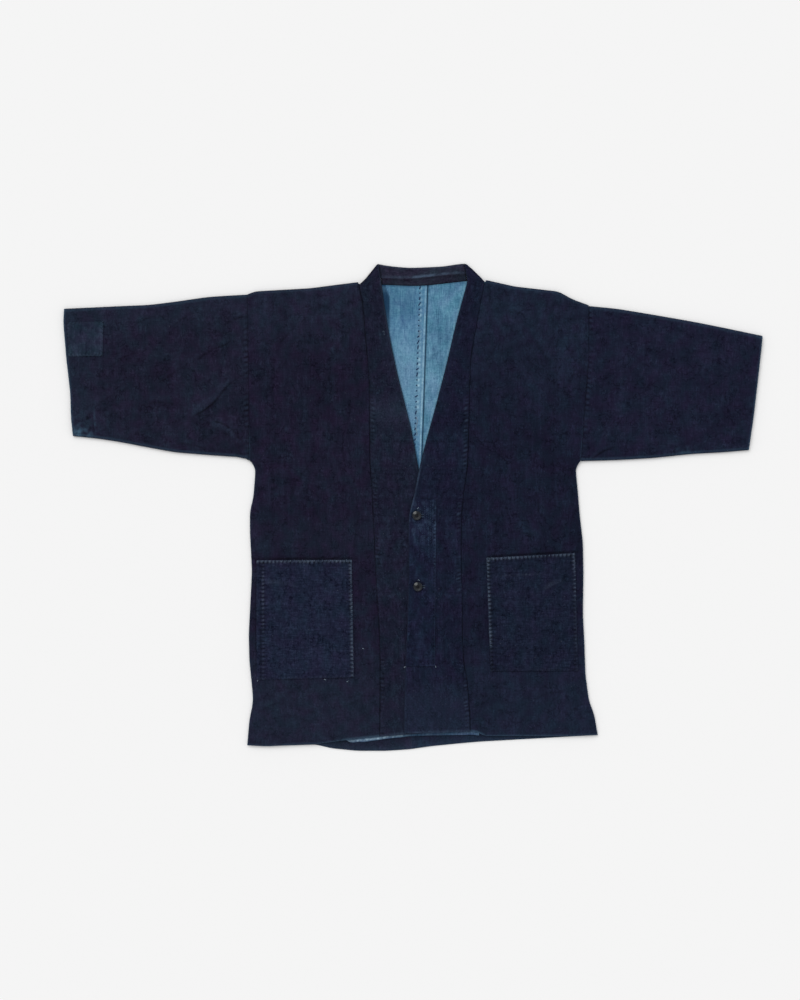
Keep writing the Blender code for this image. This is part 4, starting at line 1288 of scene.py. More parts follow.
    def build(self) -> Item:
        """Makes the panel."""
        long = float(self.fold_y(np.array(self.neck_corner))) - HEM_FRONT[0].y
        inside = spread(self.neck_width, HIDDEN, (False, True))[1:]
        columns = np.concatenate([spread(self.width, WIDE), 1 + inside])
        rows = np.concatenate([spread(long, WIDE, (True, False)), 1 + FOLD_STEPS, 2 + spread(long, HIDDEN)])
        across, along = np.meshgrid(columns, rows)
        x, y, *edges = self.front(np.minimum(across, 1.0), np.minimum(along, 1.0))
        relief, lee = Relief.front(x, y)
        z = self.front_height(x, y, edges, relief)
        wear, shade = self.front_wear(x, y, edges, relief), self.front_shade(x, y, edges, lee)

        back_x, back_y, *edges = self.back(across, np.clip(along - 2, 0, 1))
        turning, behind = (along > 1) & (along < 2), along >= 2
        over, turn = turning | behind, half_turn(along, 1)
        warp = np.where(turning, back_y + FOLD_RADIUS * turn, y)
        x = np.where(over, back_x, x)
        y = np.where(over, back_y + turning * FOLD_RADIUS * np.sin(turn), y)
        z = np.where(turning, FOLD_MIDDLE + FOLD_RADIUS * np.cos(turn), np.where(behind, BACK_MID, z))
        warp = np.where(behind, 2 * self.fold_y(x) - y + FOLD_RADIUS * math.pi, warp)
        wear = np.where(behind, self.back_wear(x, y, edges), np.where(turning, 0.12, wear))
        shade = np.where(over, 0.0, shade)
        kept = (across[:-1, :-1] < 1 - 1e-9) | (along[:-1, :-1] >= 2 - 1e-9)
        wall = ClothWall(f"body_{self.side}_panel", x, y, z, CLOTH, warp, wear, shade, kept=kept)
        below = (f"lining_{self.side}_cloth",)
        cut = Cut(f"body_{self.side}", "indigo", "folded", below, flat=(0.32, 1.54), area=self.area)
        return wall.build(self.kind, cut)


@dataclass
class LiningPanel:
    """The lining of one back panel, from the neck seam down to the turned-up hem."""

    panel: BodyPanel
    bands: dict[str, CollarBand]
    kind: Cloth
    area: float

    RIPPLE = 0.7
    LENGTH = 725.0
    SEEN = 300.0

    def waves(self, x: Array, y: Array) -> Array:
        """Slight fullness, only in the open neck where nothing lies on it."""
        right, left = self.bands["right"].free_x(y), self.bands["left"].free_x(y)
        open_part = ease((x - right - 5) / 16) * ease((left - 5 - x) / 16)
        return open_part * self.RIPPLE * (0.55 + 0.45 * Relief.crinkle(x * 1.4, y * 0.4 + 90))

    def lay_out(self) -> tuple[Array, ...]:
        """Lays out the lining, finely only in the open neck: x, y, the x of the centre seam, and its top."""
        panel = self.panel
        covered = spread(panel.width, COVERED, (True, False))
        columns = np.concatenate([covered, 1 + spread(panel.neck_width, FINE, (False, True))[1:]])
        across, down = np.meshgrid(columns, two_spreads(self.LENGTH, self.SEEN, (ROW, COVERED)))
        y = np.zeros_like(across)
        for _ in range(SETTLE_ROUNDS):
            outer = x_at(panel.sides, y) - panel.sign * LINING_INSET
            centre = x_at(CENTRE_SEAM, y) - panel.sign * SEAM_BITE / 2
            x = panel.inwards(across, outer, centre)
            top = np.where(across <= 1, panel.fold_y(x) - 1.0, y_at(NECK, x) - 0.4)
            y = top + (y_at(HEM_BACK, x) + HEM_TURN - top) * down
        return x, y, centre, top

    def build(self) -> Item:
        """Makes the lining."""
        side, sign = self.panel.side, self.panel.sign
        x, y, centre, top = self.lay_out()
        from_centre = np.abs(x - centre)
        running = sign < 0
        dimple = running * Dimples.at(y, RUN_PITCH, 2.0) * near(from_centre - RUN_ASIDE, 5.0)
        swell = 0.3 * running * near(from_centre - 6.0, 5.0) * ease((y - 95) / 20)
        z = LINING_MID + self.waves(x, y) + swell - 0.3 * dimple
        free = self.bands[side].free_x(y)
        patchy = Relief.blotches(x * 1.9, y * 1.1 + 40, 0.7)
        puffs = Dimples.bead(y, RUN_PITCH) * near(from_centre - RUN_ASIDE + 2.8, 3.6)
        wear = (
            0.8 * running * near(from_centre - 2.8, 1.6) * (0.3 + 0.7 * patchy)
            + 0.95 * running * puffs * (0.2 + 0.8 * patchy) * ease((y - 60) / 120)
            + 0.3 * (not running) * near(x - free + 2.2 * sign, 1.5)
            + (0.12 * running + 0.06) * ease((330 - y) / 110) * ease((y - 90) / 80)
        )
        # Painted shadow on the right lining: dark up to lit_x beside the band's folded edge (covered), and
        # darker in its upper left corner (corner).
        lit_x = np.maximum(-38.4 - 6.5 * ease((y - 343) / 22), free + 1.4)
        covered = ease((lit_x + 0.9 - x) / 1.8) * (1 - 0.3 * ease((y - 350) / 12))
        corner = ease((y - 300) / 26) * ease((centre - x - 14) / 10)
        # The dark centre seam, with painted shade in the stitch dimples and along the top edge below the
        # collar.
        seam = ease(((1.4 if running else 2.1) - from_centre) / 1.1)
        shade = seam + 0.2 * dimple + 0.42 * near(top - y, 4.0) + running * (0.74 * covered + 0.2 * corner)
        wall = ClothWall(f"lining_{side}_cloth", x, y, z, LINING, y, wear, shade)
        slot, below = self.kind.name.lower(), (f"body_{side}_panel",)
        cut = Cut(f"lining_{side}", slot, "laid", below, flat=(0.3, 0.76), area=self.area)
        return wall.build(self.kind, cut)


@dataclass
class Sleeve:
    """A sleeve: a flattened tube with a fold along its top and its bottom."""

    side: str
    rows: Sequence[SleeveRow]
    armhole: Sequence[Edge]
    cuff: Sequence[Edge]
    kind: Cloth
    rubbed_x: float
    rubbed: float
    area: float

    PITCH = 8.9
    RUBBED_REACH = 26.0
    CLOSE = 12.0

    @property
    def sign(self) -> float:
        """Minus for the right sleeve and plus for the left."""
        return math.copysign(1.0, self.rows[0].x)

    def edge(self, x: Array, column: str) -> Array:
        """The sleeve's top or bottom edge at x."""
        rows = sorted(self.rows)
        return bent(x, [row.x for row in rows], [getattr(row, column) for row in rows], 12.0)

    def lay_out(self, along: Array, share: Array) -> tuple[Array, ...]:
        """Lays out the sleeve: x, y, the y of its two folds, and the x of its two ends."""
        x = np.full_like(along, self.rows[0].x)
        for _ in range(SETTLE_ROUNDS):
            top, bottom = self.edge(x, "top") - FOLD_REACH, self.edge(x, "bottom") + FOLD_REACH
            y = bottom + (top - bottom) * share
            start, end = x_at(self.armhole, y) - self.sign * SEAM_BITE, x_at(self.cuff, y)
            x = start + (end - start) * along
        return x, y, top, bottom, start, end

    def wear(self, x: Array, y: Array, ends: tuple[Array, Array], from_cuff: Array) -> Array:
        """Where both layers of the sleeve are worn.

        Args:
            x: Places across the jacket.
            y: Places up the jacket.
            ends: The y of its top and its bottom fold.
            from_cuff: How far each place is from the cuff.

        Returns:
            The wear.
        """
        top, bottom = ends
        spots = near(x - self.rubbed_x, self.RUBBED_REACH) * near(y - bottom - 4.0, 11.0)
        folds = 0.16 * near(top - y, 5.0) + 0.2 * near(y - bottom, 4.0)
        return folds + 0.6 * near(from_cuff, 2.4) + self.rubbed * spots * self.patchy(x, y)

    def cuff_wear(self, x: Array, y: Array, top: Array, from_cuff: Array) -> Array:
        """How the cuff's upper layer is rubbed, with the streak along its turning.

        Args:
            x: Places across the jacket.
            y: Places up the jacket.
            top: The y of the sleeve's top fold.
            from_cuff: How far each place is from the cuff.

        Returns:
            The wear.
        """
        patchy = self.patchy(x, y)
        low = ease((70 - from_cuff) / 30) * ease((185 - y) / 60) * (1 + 1.6 * near(from_cuff - 9, 12.0))
        streak = near(from_cuff - 38.0, 2.0) * ease((175 - y) / 40)
        rubbed = 0.09 * low * patchy + streak * (0.1 + 0.3 * patchy)
        return rubbed + 0.03 * ease((60 - (top - y)) / 40) + 0.05 * ease((60 - from_cuff) / 60)

    @staticmethod
    def patchy(x: Array, y: Array) -> Array:
        """The sleeve's uneven patches, from 0 to 1."""
        return Relief.blotches(x * 1.6, y * 1.6 + 300, 0.9)

    def build(self) -> Item:
        """Makes the sleeve."""
        first, last = self.rows[0], self.rows[-1]
        span, length = first.top - first.bottom, abs(last.x - first.x)
        going, coming = spread(span, ROW, (False, False)), spread(span, HIDDEN, (False, False))
        rings = np.concatenate([going, 1 + FOLD_STEPS, 2 + coming, 3 + FOLD_STEPS, [4.0]])
        along, around = np.meshgrid(two_spreads(length, self.CLOSE, (1.6, WIDE + 0.2)), rings)
        above, below = around <= 1, (around > 2) & (around <= 3)
        at_top, at_bottom = (around > 1) & (around <= 2), around > 3
        share = np.where(above, around, np.where(below, 3 - around, np.where(at_top, 1.0, 0.0)))
        x, y, top, bottom, start, end = self.lay_out(along, share)
        relief, lee = Relief.front(x, y)
        inside = ease(np.minimum(y - bottom, top - y) / (0.5 * FOLD_CALM))
        from_seam, from_cuff = np.abs(x - start), np.abs(end - x)
        run = y + 0.2 * from_seam + 0.7 * sway(y, 7.7, 2.0, 37.0)
        tight = Dimples.strength(y + self.rubbed_x) ** 1.4
        stroke = 8.5 + 3.0 * np.sin(y / 19.0)
        reach = ease(from_seam / 1.2) * ease((stroke - from_seam) / 4)
        dimple = tight * Dimples.at(run, self.PITCH, 4.0) * reach
        hem = 0.25 * near(from_cuff - 7.0, 6.0)
        upper = FRONT_MID + (relief + hem) * inside - 0.4 * dimple + 0.22 * near(from_seam - 2.4, 4.0)
        up, down = half_turn(around, 1), half_turn(around, 3)
        z = np.where(above, upper, BACK_MID)
        z = np.where(at_top, FOLD_MIDDLE + FOLD_RADIUS * np.cos(up), z)
        z = np.where(at_bottom, FOLD_MIDDLE - FOLD_RADIUS * np.cos(down), z)
        warp = y + np.where(at_top, FOLD_RADIUS * up, 0.0)
        warp = np.where(below, 2 * top - y + FOLD_RADIUS * math.pi, warp)
        warp = np.where(at_bottom, 2 * top - bottom + FOLD_RADIUS * (math.pi + down), warp)
        y = y + FOLD_RADIUS * (at_top * np.sin(up) - at_bottom * np.sin(down))
        rungs = 0.16 * tight * Dimples.bead(run, self.PITCH) ** 2 * near(from_seam - 4.0, 5.0)
        # Pale crease ridges, partly wear and partly a painted highlight.
        rubbed = (self.sign < 0) * self.cuff_wear(x, y, top, from_cuff) + 0.07 * ease((relief - 0.8) / 1.2)
        wear = self.wear(x, y, (top, bottom), from_cuff) + above * (rubbed + rungs)
        # Painted shade along the creases and in the stitch dimples by the armhole; the armhole seam is a dark
        # line.
        shade = above * (0.6 * lee + 0.75 * dimple) + (0.2 + 0.3 * tight) * near(from_seam, 1.7)
        wall = ClothWall(f"sleeve_{self.side}_tube", x, y, z, CLOTH, warp, wear, shade, tube=True)
        cut = Cut(f"sleeve_{self.side}", "indigo", "folded", ("floor",), flat=(0.31, 0.56), area=self.area)
        return wall.build(self.kind, cut)


class BackCollar:
    """The doubled band behind the neck, its inner side upwards, with the worn crease along its middle."""

    SPAN = 30.0
    MIDDLE_Y = 385.0

    def build(self) -> Item:
        """Makes the band."""
        layer = spread(self.SPAN, 1.2, (True, False))
        rings = np.concatenate([layer, 1 + BAND_FOLD_STEPS, 3 - layer[::-1]])
        across, around = np.meshgrid(spread(MITRE_LEFT[0].x - MITRE_RIGHT[0].x, FINE), rings)
        up = np.where(around <= 1, around, np.minimum(3 - around, 1.0))
        y = np.full_like(across, self.MIDDLE_Y)
        for _ in range(SETTLE_ROUNDS):
            low, high = x_at(MITRE_RIGHT, y, 1.0), x_at(MITRE_LEFT, y, 1.0)
            x = low - SEAM_BITE + (high - low + 2 * SEAM_BITE) * across
            bottom, top = y_at(NECK, x), y_at(COLLAR_TOP, x) - BAND_REACH
            y = bottom + (top - bottom) * up
        turn, upper = half_turn(around, 1), around >= 2
        past = y - y_at(COLLAR_CREASE, x)
        lip = COLLAR_LIP * ease(past / 2.5 + 0.5) * ease((top - y) / 8)
        ripple = 0.15 * (Relief.crinkle(x * 1.2 + 70, y * 1.2) + 1) * ease((top - y) / 5)
        z = COLLAR_LOW_MID + BAND_FOLD * (1 - np.cos(turn)) + upper * (lip + ripple)
        patchy = ease(0.75 + 0.5 * sway(x, 13, 1.5, 5))
        crease = near(past + 0.9, 3.4) * (0.2 + 0.75 * near(x - 22, 72) * patchy)
        wear = upper * crease + 0.16 * near(top - y, 2.2)
        # Painted shade: a shadow line below the crease where the upper half laps over the lower, the lower
        # half a little darker, and darker along the neck seam; the mitre seams are dark lines.
        below = 0.22 * near(past + 5.0, 2.6) + 0.2 * ease((-2 - past) / 2) + 0.3 * near(y - bottom, 3.0)
        shade = upper * below + 0.55 * near(np.minimum(x - low, high - x), 2.6)
        y = y + BAND_FOLD * np.sin(turn)
        wall = ClothWall("collar_back_band", x, y, z, BAND_CLOTH, x, wear, shade, weft=y + around * 60)
        cut = Cut("collar_back", "collar_inside", "folded", ("floor",), flat=(0.06, 0.145))
        return wall.build(Cloth.COLLAR_INSIDE, cut)


class HemRim:
    """The edge of the fronts' lining, rolled out a little below the hem."""

    def build(self) -> Item:
        """Makes the rim."""
        start, end = RIM_ENDS
        across, down = np.meshgrid(spread(end - start, 1.0), spread(RIM_TUCK + RIM_SHOW, 1.0))
        x = start + (end - start) * across
        hem = y_at(HEM_FRONT, np.minimum(x, end - 4))
        ragged = 0.5 * sway(x, 6.0, 2, 17.0) * ease((30 - x) / 60)
        taper = RIM_SHOW * (1 - ease((x - start + 3) / 16))
        y = hem + RIM_TUCK - (RIM_TUCK + RIM_SHOW + ragged - taper) * down
        z = RIM_MID + 0.15 * sway(x, 8, 1, 21) * np.sin(math.pi * down)
        left_part = ease((0 - x) / 30)
        patchy = Relief.blotches(x * 2.2, y * 2 + 50)
        flecks = ease(3 * (Relief.crinkle(x * 3.1 + 17, y * 3 + 50) - 0.15))
        wear = (
            0.5 * left_part * near(hem - 2.6 - y, 3.0) * (0.35 + 0.65 * patchy)
            + 0.4 * left_part * flecks * near(hem - 3.4 - y, 2.6)
            + 0.2 * (1 - left_part) * near(hem + 0.6 - y, 1.6) * patchy
        )
        # Painted shadow of the front hem over the rim's right part, uneven along its fibres, a dark line at
        # its lower edge, and darker towards its start at minus x.
        fibres = 0.5 + 0.5 * sway(x, 1 / 1.5, 3, 4.3)
        hem_shadow = 0.04 + 0.24 * fibres + 0.6 * ease((hem - 4.6 - y) / 1.2)
        shade = (1 - left_part) * hem_shadow + 0.4 * near(hem - RIM_SHOW - y, 1.2) + 0.3 * ease((-84 - x) / 20)
        wall = ClothWall("hem_rim_cloth", x, y, z, RIM_CLOTH, x, wear, shade, weft=y)
        below = ("body_right_panel", "body_left_panel")
        return wall.build(Cloth.RIM, Cut("hem_rim", "hem_blue", "laid", below, flat=(0.22, 0.016)))


@dataclass
class SewnPatch:
    """A pocket or a mend: a flat piece sewn on the cloth below, its edges beaded by overcast stitches."""

    node: str
    slot: str
    kind: Cloth
    patch: Patch
    lean: Patch
    wears: Patch
    below: str
    puff: float = 1.2
    thickness: float = CLOTH
    pitch: float = 6.5
    inset_left: float = 0.0
    hem_line: float = 0.0
    pale_down: Line = Line(999.0, 999.0)

    SCALLOP = 0.7
    SLACK = (Fold(219, -134, 244, -122, 2, 9, 0.8), Fold(-240, -124, -196, -130, 2, 9, 0.6))

    @property
    def wide(self) -> float:
        """Its width."""
        return self.patch.right - self.patch.left

    @property
    def tall(self) -> float:
        """Its height."""
        return self.patch.top - self.patch.bottom

    def build(self) -> Item:
        """Makes the patch."""
        across, up = np.meshgrid(spread(self.wide, ROW), spread(self.tall, FINE))
        x, y = patch_point(self.patch, self.lean, across, up)
        left, right = self.wide * across, self.wide * (1 - across)
        bottom, top = self.tall * up, self.tall * (1 - up)
        bead_x, bead_y = Dimples.bead(x, self.pitch), Dimples.bead(y, self.pitch)
        x = x - self.SCALLOP * (0.5 - bead_y) * (near(left, 3.0) - near(right, 3.0))
        y = y - self.SCALLOP * (0.5 - bead_x) * (near(bottom, 3.0) - near(top, 3.0))
        full = (np.sin(math.pi * across) * np.sin(math.pi * up)) ** 0.8
        ripple = 0.16 * (Relief.crinkle(x * 1.2 + 31, y * 1.2 + 77) + 0.9)
        inner = ease(np.minimum.reduce([left, right, bottom, top]) / 9)
        z = FRONT_TOP + LAY + self.thickness / 2 + self.puff * full + ripple * inner
        wear, shade = np.zeros_like(x), np.zeros_like(x)
        fading = [1 - 0.72 * ease((top - down) / 45) for down in self.pale_down]
        distances, beads = (left, right - 0.7, bottom, top), (bead_y, bead_y, bead_x, bead_x)
        for distance, bead, strength, faded in zip(distances, beads, self.wears, (*fading, 1.0, 1.0)):
            even, dimple = Dimples.strength(1.7 * (x + y) + 90 * strength), 1 - bead
            pucker = dimple**2 * near(distance - 6.0, 6.5) * strength
            wear += strength * faded * (0.14 + 0.86 * bead**1.5) * even * near(distance - 1.9, 3.9)
            # Painted shade in the stitch dimples and in the puckers between them.
            shade += 0.8 * dimple**2 * near(distance - 3.4, 3.6) * strength + 0.5 * pucker
            z += 0.2 * bead * near(distance - 2.4, 2.8) - 0.22 * pucker
            z -= 0.3 * dimple * near(distance - 2.6, 2.4)
        if self.inset_left:
            aside = left - self.inset_left
            rungs = (1 - bead_y) ** 3 * near(aside, 9.0)
            even = 0.15 + 0.85 * Dimples.strength(2 * y)
            wear += 0.5 * fading[0] * bead_y**1.5 * near(aside, 2.6) * even
            # Painted shade in the ladder stitches' dimples, and a dark line beside them.
            shade += 0.7 * rungs + 0.3 * near(aside + 4.0, 2.0)
            z -= 0.35 * rungs
        if self.hem_line:
            line = near(top - self.hem_line, 2.4) * near(across - 0.4, 0.42)
            wear += 0.3 * line * (0.1 + 0.9 * bead_x**2) * Dimples.strength(2.3 * x)
            z -= 0.2 * line
        if self.puff:
            # Slack folds: pale ridges, partly wear and partly a painted highlight, with painted shade along
            # their steep side.
            slack, lee = Relief.folds(x, y, self.SLACK)
            wear += 0.07 * ease(slack / 0.8)
            shade += 0.4 * lee
            z += slack
        wall = ClothWall(self.node + "_cloth", x, y, z, self.thickness, y, wear, shade)
        cut = Cut(self.node, self.slot, "laid", (self.below,), flat=(self.wide * MM, self.tall * MM))
        return wall.build(self.kind, cut)


@dataclass
class ButtonStand:
    """The strip behind the buttons, cut along the left band's folded edge, with its worked buttonholes."""

    band: CollarBand

    WIDTH = 44.0
    PITCH = 5.6
    HOLE_LONG = 13.0
    HOLE_START = -1.5

    def build(self) -> Item:
        """Makes the strip."""
        tall = STAND_TOP.y - STAND_BOTTOM.y
        across, up = np.meshgrid(spread(self.WIDTH, 1.3), spread(tall, 1.45))
        y = STAND_BOTTOM.y + tall * up
        left = self.band.free_x(y) + STAND_INSET
        right = STAND_BOTTOM.x + (STAND_TOP.x - STAND_BOTTOM.x) * up
        x = left + (right - left) * across
        from_left, from_right, from_top, from_foot = x - left, right - x, tall * (1 - up), tall * up
        bead = Dimples.bead(y, self.PITCH)
        pinch = (1 - bead) * near(from_right - 2.6, 2.4)
        ripple = 0.12 * (Relief.crinkle(x * 1.5, y * 1.5 + 9) + 0.8)
        z = STAND_LEVEL + LAY + PATCH_CLOTH / 2 + ripple - 0.25 * pinch
        beads = ease((y + 125) / 25) * ease((-12 - y) / 20) * bead * Dimples.strength(1.9 * y)
        pale = 0.03 + 0.1 * ease((y + 70) / 40) * (0.4 + 0.6 * bead) + 0.26 * ease((y + 18) / 20)
        mended = ease(2 * Relief.crinkle(x * 2.2, y * 1.7 + 31)) * ease((y + 75) / 40)
        wear = (
            0.6 * beads * near(from_right - 2.2, 2.6) + 0.07 * near(from_right, 2.4)
            + pale * near(from_left, 2.0) + 0.03 * near(from_foot, 3) + 0.15 * mended * ease(from_top / 8)
        )
        # Painted shade in the stitch pinches; darker towards the bottom and along the foot.
        shade = 0.45 * pinch + 0.05 * ease((-70 - y) / 30) + 0.25 * near(from_foot, 1.6)
        for spot in BUTTONS.values():
            along, above = x - spot.x - self.HOLE_START, y - spot.y
            beyond = self.HOLE_LONG - along
            slit = near(above, 1.5) * ease(along / 1.2) * ease(beyond / 1.2)
            lip = near(np.abs(above) - 1.9, 1.8) * ease((along + 1) / 1.5) * ease((beyond + 1) / 1.5)
            z += 0.25 * lip - 0.6 * slit
            # Painted shade in the buttonhole's slit, and a painted shadow of the button in a ring round it.
            shade += 0.95 * slit + 0.5 * near(np.hypot(x - spot.x - 1.4, above - 1.4) - 7.6, 3.4)
            wear += 0.2 * lip
        wall = ClothWall("button_stand_strip", x, y, z, PATCH_CLOTH, y, wear, shade)
        cut = Cut("button_stand", "indigo", "laid", ("collar_left_band",), flat=(0.05, 0.276), area=0.0122)
        return wall.build(Cloth.STAND, cut)


@dataclass
class Button:
    """A turned horn button with a dished face, four holes and the thread through them."""

    name: str
    spot: Line
    radius: float = 7.5
    height: float = 3.2
    dish: float = 0.9
    hole: float = 0.95
    hole_aside: float = 1.8

    BASE = STAND_TOP_LEVEL + LAY
    STEPS = 56
    MERGE_METRES = 0.00001
    SHARP = math.radians(40)
    SIDES = 16

    def profile(self) -> list[tuple[float, float]]:
        """Half of its outline, from the middle of the dish round to the middle of the back."""
        flat, deep = self.radius - 1.2, self.height - self.dish
        dish = [(r, deep - 0.12 * (1 - (r / (flat - 1.6)) ** 2)) for r in (0.0, 1.2, 2.4, 3.4, flat - 1.6)]
        roll = [(flat - 1.1, deep + 0.25), (flat - 0.7, self.height - 0.25), (flat - 0.3, self.height - 0.05)]
        rim = [
            (self.radius - 0.6 + 0.6 * math.sin(a), self.height - 1.2 + 1.2 * math.cos(a))
            for a in np.linspace(0.0, math.pi / 2, 6)
        ]
        foot = [(self.radius - 0.15, 1.2), (self.radius - 0.7, 0.7), (self.radius - 2.2, 0.1), (0.0, 0.0)]
        return dish + roll + rim + foot

    def hole_spot(self, number: int) -> tuple[float, float]:
        """The place of one of its holes, from its middle."""
        turn = math.pi / 4 + number * math.pi / 2
        return self.hole_aside * math.cos(turn), self.hole_aside * math.sin(turn)

    def drill(self, number: int) -> Item:
        """The cutter of one hole."""
        x, y = self.hole_spot(number)
        size = {"radius": self.hole * MM, "depth": 3 * self.height * MM}
        bpy.ops.mesh.primitive_cylinder_add(vertices=self.SIDES, location=(x * MM, y * MM, 0.0), **size)
        return bpy.context.object

    def sewing(self) -> list[Array]:
        """The thread's two passes between opposite holes, as paths."""
        share = np.linspace(-0.06, 1.06, 9)
        sag = 0.35 * np.sin(math.pi * np.clip(share, 0, 1)) - 1.4 * (np.abs(share - 0.5) > 0.5)
        top = self.BASE + self.height - self.dish + 0.15
        paths = []
        for first, second in ((0, 1), (3, 2)):
            (x0, y0), (x1, y1) = self.hole_spot(first), self.hole_spot(second)
            x = self.spot.x + x0 + (x1 - x0) * share
            y = self.spot.y + y0 + (y1 - y0) * share
            paths.append(path(x, y, top + sag))
        return paths

    def build(self) -> Item:
        """Turns the button, drills it and puts it in its place."""
        mesh = bpy.data.meshes.new(self.name)
        verts = [(r * MM, 0.0, z * MM) for r, z in self.profile()]
        mesh.from_pydata(verts, [(k, k + 1) for k in range(len(verts) - 1)], [])
        blank = placed(self.name + "_blank", mesh)
        screw = blank.modifiers.new("turning", "SCREW")
        screw.axis = "Z"
        screw.steps = screw.render_steps = self.STEPS
        screw.use_merge_vertices = True
        screw.merge_threshold = self.MERGE_METRES
        drills = [self.drill(k) for k in range(4)]
        for bit in drills:
            cut = blank.modifiers.new("hole", "BOOLEAN")
            cut.operation = "DIFFERENCE"
            cut.object = bit
        done = settled(blank, *drills)
        done.transform(Matrix.Translation(Vector((*self.spot, self.BASE)) * MM))
        done.shade_smooth()
        done.set_sharp_from_angle(angle=self.SHARP)
        done.materials.clear()
        done.materials.append(HornFinish(self.spot).material(self.name + "_horn"))
        return mounted(placed(self.name + "_horn", done), self.name)


def path(x: Array | float, y: Array | float, z: Array | float) -> Array:
    """A path's points. A coordinate that is one number is the same all along."""
    return np.stack(np.broadcast_arrays(x, y, z), axis=1)


@dataclass
class Stitches:
    """Hand stitches of one kind, laid along their paths by a Geometry Nodes tree."""

    name: str
    thread: Thread
    paths: Sequence[Array]
    pitch: float
    length: float
    radius: float
    slant: float = 0.0
    uneven: float = 0.18
    seed: int = 1
    slot: str | None = None

    SEGMENTS = 6
    RINGS = 5
    FLATNESS = 0.8

    def inputs(self) -> dict[str, tuple[str, object]]:
        """The type and the value of each of the tree's inputs, in metres and radians."""
        return {
            "Pitch": ("Float", self.pitch * MM), "Stitch Length": ("Float", self.length * MM),
            "Thread Radius": ("Float", self.radius * MM), "Slant": ("Float", self.slant),
            "Unevenness": ("Float", self.uneven), "Seed": ("Int", self.seed),
            "Thread": ("Material", material_of(self.thread)),
        }

    def tree(self) -> Tree:
        """Builds the tree that lays a small capsule at every stitch.

        Returns:
            The node tree, with its sizes as named inputs.
        """
        tree = bpy.data.node_groups.new(self.name + "_sewing", "GeometryNodeTree")
        tree.interface.new_socket("Path", in_out="INPUT", socket_type="NodeSocketGeometry")
        for label, (kind, _) in self.inputs().items():
            tree.interface.new_socket(label, in_out="INPUT", socket_type="NodeSocket" + kind)
        tree.interface.new_socket("Stitches", in_out="OUTPUT", socket_type="NodeSocketGeometry")
        given = add_node(tree, "NodeGroupInput").outputs

        def calculate(operation: str, first: Value, second: Value) -> Socket:
            """One step of arithmetic."""
            return add_node(tree, "ShaderNodeMath", {0: first, 1: second}, operation=operation).outputs[0]

        def drawn(offset: int) -> Socket:
            """A draw for each stitch, from minus to plus the unevenness."""
            draw = add_node(tree, "FunctionNodeRandomValue", data_type="FLOAT")
            ends = [socket for socket in draw.inputs if socket.enabled]
            ends[0].default_value, ends[1].default_value = -1.0, 1.0
            tree.links.new(calculate("ADD", given["Seed"], float(offset)), ends[-1])
            value = [socket for socket in draw.outputs if socket.enabled][0]
            return calculate("MULTIPLY", value, given["Unevenness"])

        curve = add_node(tree, "GeometryNodeMeshToCurve", {"Mesh": given["Path"]}).outputs["Curve"]
        inputs = {"Curve": curve, "Length": given["Pitch"]}
        points = add_node(tree, "GeometryNodeCurveToPoints", inputs, mode="LENGTH").outputs
        heading = add_node(tree, "ShaderNodeSeparateXYZ", {0: points["Tangent"]}).outputs
        angle = calculate("ADD", calculate("ARCTAN2", heading["Y"], heading["X"]), given["Slant"])
        turn = add_node(tree, "ShaderNodeCombineXYZ", {"Z": calculate("ADD", angle, drawn(1))}).outputs[0]
        half = calculate("MULTIPLY", given["Stitch Length"], 0.5)
        size = add_node(tree, "ShaderNodeCombineXYZ", {
            "X": calculate("MULTIPLY", half, calculate("ADD", 1.0, drawn(2))), "Y": given["Thread Radius"],
            "Z": calculate("MULTIPLY", given["Thread Radius"], self.FLATNESS),
        }).outputs[0]
        inputs = {"Segments": self.SEGMENTS, "Rings": self.RINGS, "Radius": 1.0}
        bead = add_node(tree, "GeometryNodeMeshUVSphere", inputs).outputs["Mesh"]
        inputs = {"Geometry": bead, "Rotation": (0.0, math.pi / 2, 0.0)}
        upright = add_node(tree, "GeometryNodeTransform", inputs).outputs["Geometry"]
        inputs = {"Points": points["Points"], "Instance": upright, "Rotation": turn, "Scale": size}
        copies = add_node(tree, "GeometryNodeInstanceOnPoints", inputs).outputs["Instances"]
        real = add_node(tree, "GeometryNodeRealizeInstances", {"Geometry": copies}).outputs["Geometry"]
        soft = add_node(tree, "GeometryNodeSetShadeSmooth", {"Geometry": real}).outputs["Geometry"]
        dyed = add_node(tree, "GeometryNodeSetMaterial", {"Geometry": soft, "Material": given["Thread"]})
        add_node(tree, "NodeGroupOutput", {0: dyed.outputs["Geometry"]})
        return tree

    def build(self) -> Item:
        """Sews the stitches and makes them one plain mesh.

        Returns:
            The stitches' object.
        """
        verts, edges = [], []
        for points in self.paths:
            lift = Relief.lift(points[:, 0], points[:, 1])
            edges += [(len(verts) + k, len(verts) + k + 1) for k in range(len(points) - 1)]
            verts += ((points + path(0.0, 0.0, lift)) * MM).tolist()
        guide = bpy.data.meshes.new(self.name + "_path")
        guide.from_pydata(verts, edges, [])
        holder = placed(self.name + "_path", guide)
        modifier = holder.modifiers.new("sewing", "NODES")
        modifier.node_group = self.tree()
        inputs = self.inputs()
        for socket in modifier.node_group.interface.items_tree:
            if socket.name in inputs:
                modifier[socket.identifier] = inputs[socket.name][1]
        mesh = settled(holder)
        mesh.name = self.name
        return mounted(placed(self.name, mesh))


